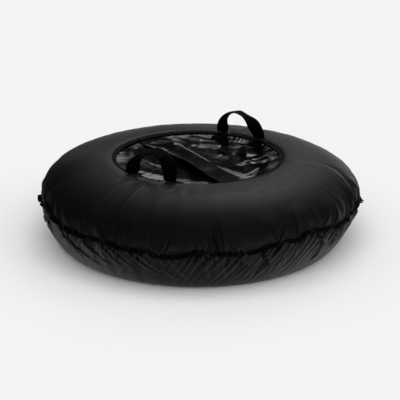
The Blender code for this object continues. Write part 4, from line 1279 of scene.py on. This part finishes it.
def panel_points():
    """The lower panel: a low crown, with a hollow on the left and its edge under the flap."""
    x, y = seat_grid(PANEL_EDGE_DISTANCE, 1, 0.0, PANEL_GRID)
    radius = np.hypot(x, y)
    height = surface_height(radius) - PANEL_DROP + PANEL_CROWN * (1 - (radius / SEAT_RADIUS) ** 2) ** 2
    inside = off_the_band(x, y)
    height += fold_relief(x, y, PANEL_FOLDS) * inside + puckers(x, y)
    height += 0.0001 * crumple(x, y, 81, 0.12) * inside
    height += 0.0004 * field(x, y, 85, 0.15) * inside
    turn = turn_between(azimuth_of(x, y), HOLLOW_AZIMUTH) / HOLLOW_TURN
    hollow = np.exp(-(turn**2) - ((radius - HOLLOW_RADIUS) / HOLLOW_REACH) ** 2)
    height -= HOLLOW_DEPTH * hollow
    behind, _ = lip_axes(x, y)
    height -= EDGE_DIP * ease(behind / 0.03)
    return np.stack([x, y, height], axis=-1), x, y


def seat_sheet(name, made, flipped, finish):
    points, x, y = made
    quads = grid_quads(*x.shape)[:, :: -1 if flipped else 1]
    return sheet_mesh(name, points, quads, np.stack([x, y], axis=-1), SEAT_SHEET, finish)


def hem_strip(name, made, flipped, finish):
    """Tape under a seat sheet's straight edge, which follows the sheet."""
    points, x, _ = made
    across, depth = seat_shares(*x.shape)
    wide, deep = np.abs(across) <= HEM_END_SHARE, depth <= HEM_DEPTH_SHARE
    under = points[np.ix_(wide, deep)].copy()
    under[..., 2] -= SEAT_SHEET + GAP
    quads = grid_quads(*under.shape[:2])[:, :: -1 if flipped else 1]
    cloth = grid_cloth(across[wide] * LIP_HALF_LENGTH, depth[deep] * HEM_RUN)
    return sheet_mesh(name, under, quads, cloth, HEM_TAPE, finish)


# Handles


def strap_path(side, lean, tilt, turn, loop, steps):
    """Middle, width direction and face direction of a handle loop, in the part's frame."""
    angle = np.linspace(0, math.pi, steps + 1)
    across = np.abs(np.cos(angle)) ** (2 / loop["exponent"]) * np.sign(np.cos(angle))
    up = np.clip(np.sin(angle), 0, 1) ** (2 / loop["exponent"])
    path = np.stack([0 * angle, -loop["spacing"] / 2 * across, loop["height"] * up], axis=1)
    run = np.gradient(path, axis=0)
    run[0], run[-1] = (0, 0, 1), (0, 0, -1)
    run /= np.linalg.norm(run, axis=1)[:, None]
    reach = 1 - np.abs(2 * np.arange(steps + 1) / steps - 1)
    twist = loop["roll"] * ease((reach - TWIST_START) / TWIST_LENGTH) * math.pi / 2
    edge = np.zeros_like(path)
    edge[:, 1] = np.where(np.arange(steps + 1) < steps / 2, -1, 1)
    crest = np.array([-side * math.cos(tilt), 0, math.sin(tilt)])
    width = edge * np.cos(twist)[:, None] + crest * np.sin(twist)[:, None]
    width -= run * np.sum(width * run, axis=1)[:, None]
    width /= np.linalg.norm(width, axis=1)[:, None]
    fade = 1 - ease((reach - loop["yaw_end"]) / loop["yaw_end"])
    yaw = math.radians(loop["yaw"]) * ease(reach / YAW_SHARE) * fade * -edge[:, 1]
    width = width * np.cos(yaw)[:, None] + np.cross(run, width) * np.sin(yaw)[:, None]
    face = np.cross(run, width)
    turned = np.array(Matrix.Rotation(turn, 3, "Z"))
    leaning = turned @ np.array(Matrix.Rotation(-side * lean, 3, "Y"))
    origin = turned @ np.array([side * HANDLE_AXIS_RADIUS, 0, HANDLE_AXIS_HEIGHT])
    return path @ leaning.T + origin, width @ leaning.T, face @ leaning.T


def strap_mesh(name, middle, width, face, finish, cup=0.0):
    """A woven strap with round edges, swept along its path."""
    half = WEBBING_WIDTH / 2
    flat = np.linspace(-1, 1, 17)
    rounded = [min(1.0, 3.2 * math.sqrt(max(0.0, 1 - abs(a))) + 0.25) for a in flat]
    section = [(half * a, WEBBING / 2 * share) for a, share in zip(flat, rounded)]
    section += [(a, -t) for a, t in reversed(section)]
    rows, count = len(section), len(middle)
    run = np.concatenate([[0], np.cumsum(np.linalg.norm(np.diff(middle, axis=0), axis=1))])
    points = np.stack([middle + width * a + face * (t + cup * (a / half) ** 2) for a, t in section], axis=1)
    caps = []
    for start, flip in ((0, False), ((count - 1) * rows, True)):
        for k in range(rows // 2 - 1):
            quad = [start + k, start + k + 1, start + rows - 2 - k, start + rows - 1 - k]
            caps.append(quad[::-1] if flip else quad)
    quads = np.concatenate([grid_quads(count, rows, tube=True), np.array(caps)])
    return build_mesh(name, points, quads, grid_cloth(run, [a for a, _ in section]), finish)


def handle(hand, side, lean, tilt, turn, loop, finish):
    middle, width, face = strap_path(side, lean, tilt, turn, loop, LOOP_STEPS)
    return strap_mesh(f"{hand}_handle_strap", middle, width, face, finish, cup=STRAP_CUP)


def handle_tail(hand, side, place, end, turn, finish):
    """The sewn end of one leg, flat on the seat sheet."""
    x = HANDLE_AXIS_RADIUS - TAIL_LENGTH * np.linspace(0, 1, TAIL_STEPS + 1)
    y = np.full(TAIL_STEPS + 1, end * LEG_SPACING / 2)
    slope = 2 * DISH_DEPTH * x / RING_RADIUS**2
    face = np.stack([-side * slope, 0 * slope, np.ones_like(slope)], axis=1)
    face /= np.linalg.norm(face, axis=1)[:, None]
    middle = np.stack([side * x, y, surface_height(np.hypot(x, y)) - TAIL_DROP - WEBBING / 2], axis=1)
    width = np.tile([0.0, 1.0, 0.0], (TAIL_STEPS + 1, 1))
    spin = np.array(Matrix.Rotation(turn, 3, "Z")).T
    return strap_mesh(f"{hand}_handle_{place}_tail_strap", middle @ spin, width @ spin, face @ spin, finish)


def inner_tube(finish):
    """The air-filled ring, a little inside its solid."""
    outer, hole, top = TUBE_OUTER_RADIUS - TUBE_ROOM, HOLE_RADIUS + TUBE_ROOM, TUBE_TOP - TUBE_ROOM
    quarters = (
        (CREST_RADIUS, outer, top, TOP_EXPONENT, 90, 0),
        (CONTACT_RADIUS - 0.003, outer, TUBE_ROOM, BOTTOM_EXPONENT, 0, -90),
        (FLAT_MIDDLE_RADIUS, hole, TUBE_ROOM, TUBE_BOTTOM_EXPONENT, -90, 0),
        (CREST_RADIUS, hole, top, TUBE_TOP_EXPONENT, 0, 90),
    )
    section = []
    for middle, edge, level, exponent, start, end in quarters:
        for angle in np.radians(np.linspace(start, end, TUBE_STEPS + 1))[:-1]:
            across = abs(math.cos(angle)) ** (2 / exponent)
            up = abs(math.sin(angle)) ** (2 / exponent)
            section.append((middle + (edge - middle) * across, SEAM_HEIGHT + (level - SEAM_HEIGHT) * up))
    rows = len(section)
    angle = np.broadcast_to(even_azimuths(TUBE_COLUMNS)[:, None], (TUBE_COLUMNS, rows))
    radius, height = (np.broadcast_to(values, angle.shape) for values in np.array(section).T)
    cloth = np.stack([np.radians(angle) * TUBE_MIDDLE_RADIUS, height], axis=-1)
    quads = grid_quads(TUBE_COLUMNS, rows, closed=True, tube=True)[:, TURNED]
    return build_mesh("inner_tube_rubber", ring_points(angle, radius, height), quads, cloth, finish)


# Stage


def direction(azimuth, elevation):
    """A unit vector towards a place in the studio, in the part's azimuth."""
    turn, rise = math.radians(azimuth), math.radians(elevation)
    return Vector((math.cos(turn) * math.cos(rise), math.sin(turn) * math.cos(rise), math.sin(rise)))


class Sky(Nodes):
    """Sums of soft lights seen from the middle of the scene, as a world's nodes."""

    def __init__(self, name):
        world = bpy.data.worlds.new(name)
        bpy.context.scene.world = world
        world.use_nodes = True
        super().__init__(world.node_tree)
        self.direction = self.add("ShaderNodeTexCoord").outputs["Generated"]
        self.height = self.axes(self.direction)["Z"]
        self.total = None

    def towards(self, azimuth, elevation):
        """The cosine of the angle to a direction, given in the photograph's azimuth."""
        node = self.add("ShaderNodeVectorMath", operation="DOT_PRODUCT")
        node.inputs[1].default_value = direction(azimuth - PHOTO_TURN, elevation)
        self.link(self.direction, node.inputs[0])
        return node.outputs["Value"]

    def between(self, value, *limits):
        return self.range(value, *limits, interpolation_type="SMOOTHSTEP")

    def lobe(self, azimuth, elevation, level, sharpness):
        """How bright a round soft light is in each direction."""
        fall = self.math("MULTIPLY", self.math("SUBTRACT", self.towards(azimuth, elevation), 1.0), sharpness)
        return self.math("MULTIPLY", self.math("EXPONENT", fall), level)

    def light(self, level):
        self.total = level if self.total is None else self.math("ADD", self.total, level)

    def done(self):
        self.link(self.total, self.tree.nodes["Background"].inputs["Color"])


def world_light():
    """A studio: soft light behind and above, a white wall behind, dim grey round it, glow from the floor."""
    sky = Sky("studio")
    above = sky.between(sky.height, *LIGHT_FOOT, 0.0, 1.0)
    for light in SOFT_LIGHTS:
        sky.light(sky.math("MULTIPLY", sky.lobe(*light), above))
    sky.light(sky.lobe(*LOW_LIGHT))
    sky.light(sky.between(sky.height, *DEEP_HEIGHT, DEEP_LEVEL, 0.0))
    for glow in FLOOR_GLOW:
        sky.light(sky.lobe(*glow))
    side = sky.between(sky.towards(WALL_AZIMUTH, 0.0), *WALL_SPREAD, 0.0, 1.0)
    top = sky.between(sky.height, *WALL_TOP, 1.0, 0.0)
    foot = sky.between(sky.height, *WALL_FOOT, 0.0, 1.0)
    wall = sky.math("MULTIPLY", side, sky.math("MULTIPLY", top, foot))
    sky.light(sky.math("MULTIPLY", wall, WALL_LEVEL))
    rise = sky.between(sky.height, *AMBIENT_HEIGHT, AMBIENT_LOW, 1.0)
    facing = sky.math("MULTIPLY_ADD", sky.towards(AMBIENT_AZIMUTH, 0.0), AMBIENT_SWING, AMBIENT_LEVEL)
    sky.light(sky.math("MULTIPLY", facing, rise))
    sky.light(sky.between(sky.height, *FOOT_HEIGHT, FOOT_LEVEL, 0.0))
    sky.done()


def stage_piece(name, points, faces, look):
    """A piece of the studio, which the camera sees and the tube doesn't reflect."""
    mesh = bpy.data.meshes.new(name)
    mesh.from_pydata(points, [], faces)
    finish = bpy.data.materials.new(f"pale_{name}")
    finish.use_nodes = True
    shader = finish.node_tree.nodes["Principled BSDF"]
    for socket, value in look.items():
        shader.inputs[socket].default_value = value
    mesh.materials.append(finish)
    made = bpy.data.objects.new(name, mesh)
    bpy.context.scene.collection.objects.link(made)
    made.visible_diffuse = False
    made.visible_glossy = False
    made.visible_transmission = False
    made.visible_shadow = False
    made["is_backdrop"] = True
    return made


def floor():
    """A pale floor lit by its own suns, and a pale wall far off."""
    corners = [(-1, -1), (1, -1), (1, 1), (-1, 1)]
    tone = (FLOOR_TONE, FLOOR_TONE, FLOOR_TONE, 1)
    look = {"Base Color": tone, "Roughness": 1.0, "Specular IOR Level": 0.0}
    points = [(a * FLOOR_HALF, b * FLOOR_HALF, 0.0) for a, b in corners]
    ground = stage_piece("floor", points, [(0, 1, 2, 3)], look)
    count = BACKDROP_SIDES
    around = [(math.cos(math.tau * k / count), math.sin(math.tau * k / count)) for k in range(count)]
    levels = (-1.0, BACKDROP_RADIUS)
    rings = [(a * BACKDROP_RADIUS, b * BACKDROP_RADIUS, level) for level in levels for a, b in around]
    sides = [(k, (k + 1) % count, count + (k + 1) % count, count + k) for k in range(count)]
    look = {"Base Color": (0, 0, 0, 1), "Specular IOR Level": 0.0, "Emission Color": (1, 1, 1, 1)}
    stage_piece("backdrop", rings, sides, {**look, "Emission Strength": BACKDROP_LEVEL})
    lit = bpy.data.collections.new("floor_only")
    lit.objects.link(ground)
    for name, azimuth, elevation, level, spread in FLOOR_SUNS:
        data = bpy.data.lights.new(name, "SUN")
        data.energy = level
        data.angle = math.radians(spread)
        sun = bpy.data.objects.new(name, data)
        sun.rotation_mode = "QUATERNION"
        sun.rotation_quaternion = direction(azimuth - PHOTO_TURN, elevation).to_track_quat("Z", "Y")
        sun.light_linking.receiver_collection = lit
        bpy.context.scene.collection.objects.link(sun)


def camera():
    """The photograph's view."""
    back = direction(CAMERA_AZIMUTH, CAMERA_ELEVATION)
    right = Vector((0, 0, 1)).cross(back).normalized()
    up = back.cross(right)
    middle = Vector((0, 0, AIM_HEIGHT))
    data = bpy.data.cameras.new("camera")
    data.lens = CAMERA_LENS
    data.clip_end = 200
    made = bpy.data.objects.new("camera", data)
    made.location = middle + back * CAMERA_DISTANCE
    aim = middle + right * AIM_RIGHT + up * AIM_UP
    made.rotation_mode = "QUATERNION"
    made.rotation_quaternion = (aim - made.location).to_track_quat("-Z", "Y")
    bpy.context.scene.collection.objects.link(made)
    bpy.context.scene.camera = made


def dress(piece, node, body="root"):
    """Puts a piece on its body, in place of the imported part's node."""
    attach(piece, body)
    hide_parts(node)
    return piece


def finish_cad_nodes(names, material):
    """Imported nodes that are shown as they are."""
    for name in names:
        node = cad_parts[name]
        if not node.material_slots:
            node.data.materials.append(material)
        for used in node.material_slots:
            used.material = material


def main():
    oxford, base, seat = cover_fabric(), coated_base(), coated_seat()
    tape, strap = edge_tape(), webbing()
    rubber = plain_finish("tube_rubber", (0.018, 0.018, 0.018), (0.034, 0.034, 0.034), 0.6)
    black_rubber = plain_finish("valve_rubber", (0.012, 0.012, 0.012), (0.022, 0.022, 0.022), 0.55)
    brass = plain_finish("valve_brass", (0.55, 0.38, 0.15), (0.72, 0.54, 0.26), 0.32, 1.0)
    steel = plain_finish("valve_steel", (0.48, 0.48, 0.49), (0.62, 0.62, 0.63), 0.30, 1.0)
    plastic = plain_finish("cap_plastic", (0.010, 0.010, 0.010), (0.019, 0.019, 0.019), 0.42)

    bpy.context.scene.view_settings.view_transform = "Standard"
    camera()
    floor()
    world_light()

    for place, first in (("back", 0.0), ("front", 180.0)):
        half = top_cover(f"top_cover_{place}_cloth", first, oxford)
        dress(half, f"top_cover_{place}")
    bottom = dress(bottom_cover(base), "bottom_cover")
    binding = dress(perimeter_binding(tape), "perimeter_binding")
    band = dress(ring_band(tape), "ring_band")
    flap_made, panel_made = flap_points(), panel_points()
    flap = dress(seat_sheet("seat_flap_sheet", flap_made, False, seat), "seat_flap")
    panel = dress(seat_sheet("seat_panel_sheet", panel_made, True, seat), "seat_panel")
    flap_hem = dress(hem_strip("flap_hem_strip", flap_made, False, tape), "flap_hem_tape")
    panel_hem = dress(hem_strip("panel_hem_strip", panel_made, True, tape), "panel_hem_tape")
    for hand, side, lean, tilt, turn, curve in HANDLES:
        loop = handle(hand, side, lean, tilt, turn, curve, strap)
        dress(loop, f"{hand}_handle", body=f"{hand}_handle")
        for place, end in (("front", -1), ("back", 1)):
            tail = handle_tail(hand, side, place, end, turn, strap)
            dress(tail, f"{hand}_handle_{place}_tail")
    dress(inner_tube(rubber), "inner_tube")
    finish_cad_nodes(("valve_base", "valve_stem", "valve_cap_seal"), black_rubber)
    finish_cad_nodes(("valve_insert", "valve_core_body"), brass)
    finish_cad_nodes(("valve_core_pin", "valve_core_spring"), steel)
    finish_cad_nodes(("valve_cap",), plastic)


main()
boxes = {"cad": CAD_BOX, "visual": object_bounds()}
{name: [list(corner) for corner in box] for name, box in boxes.items()}
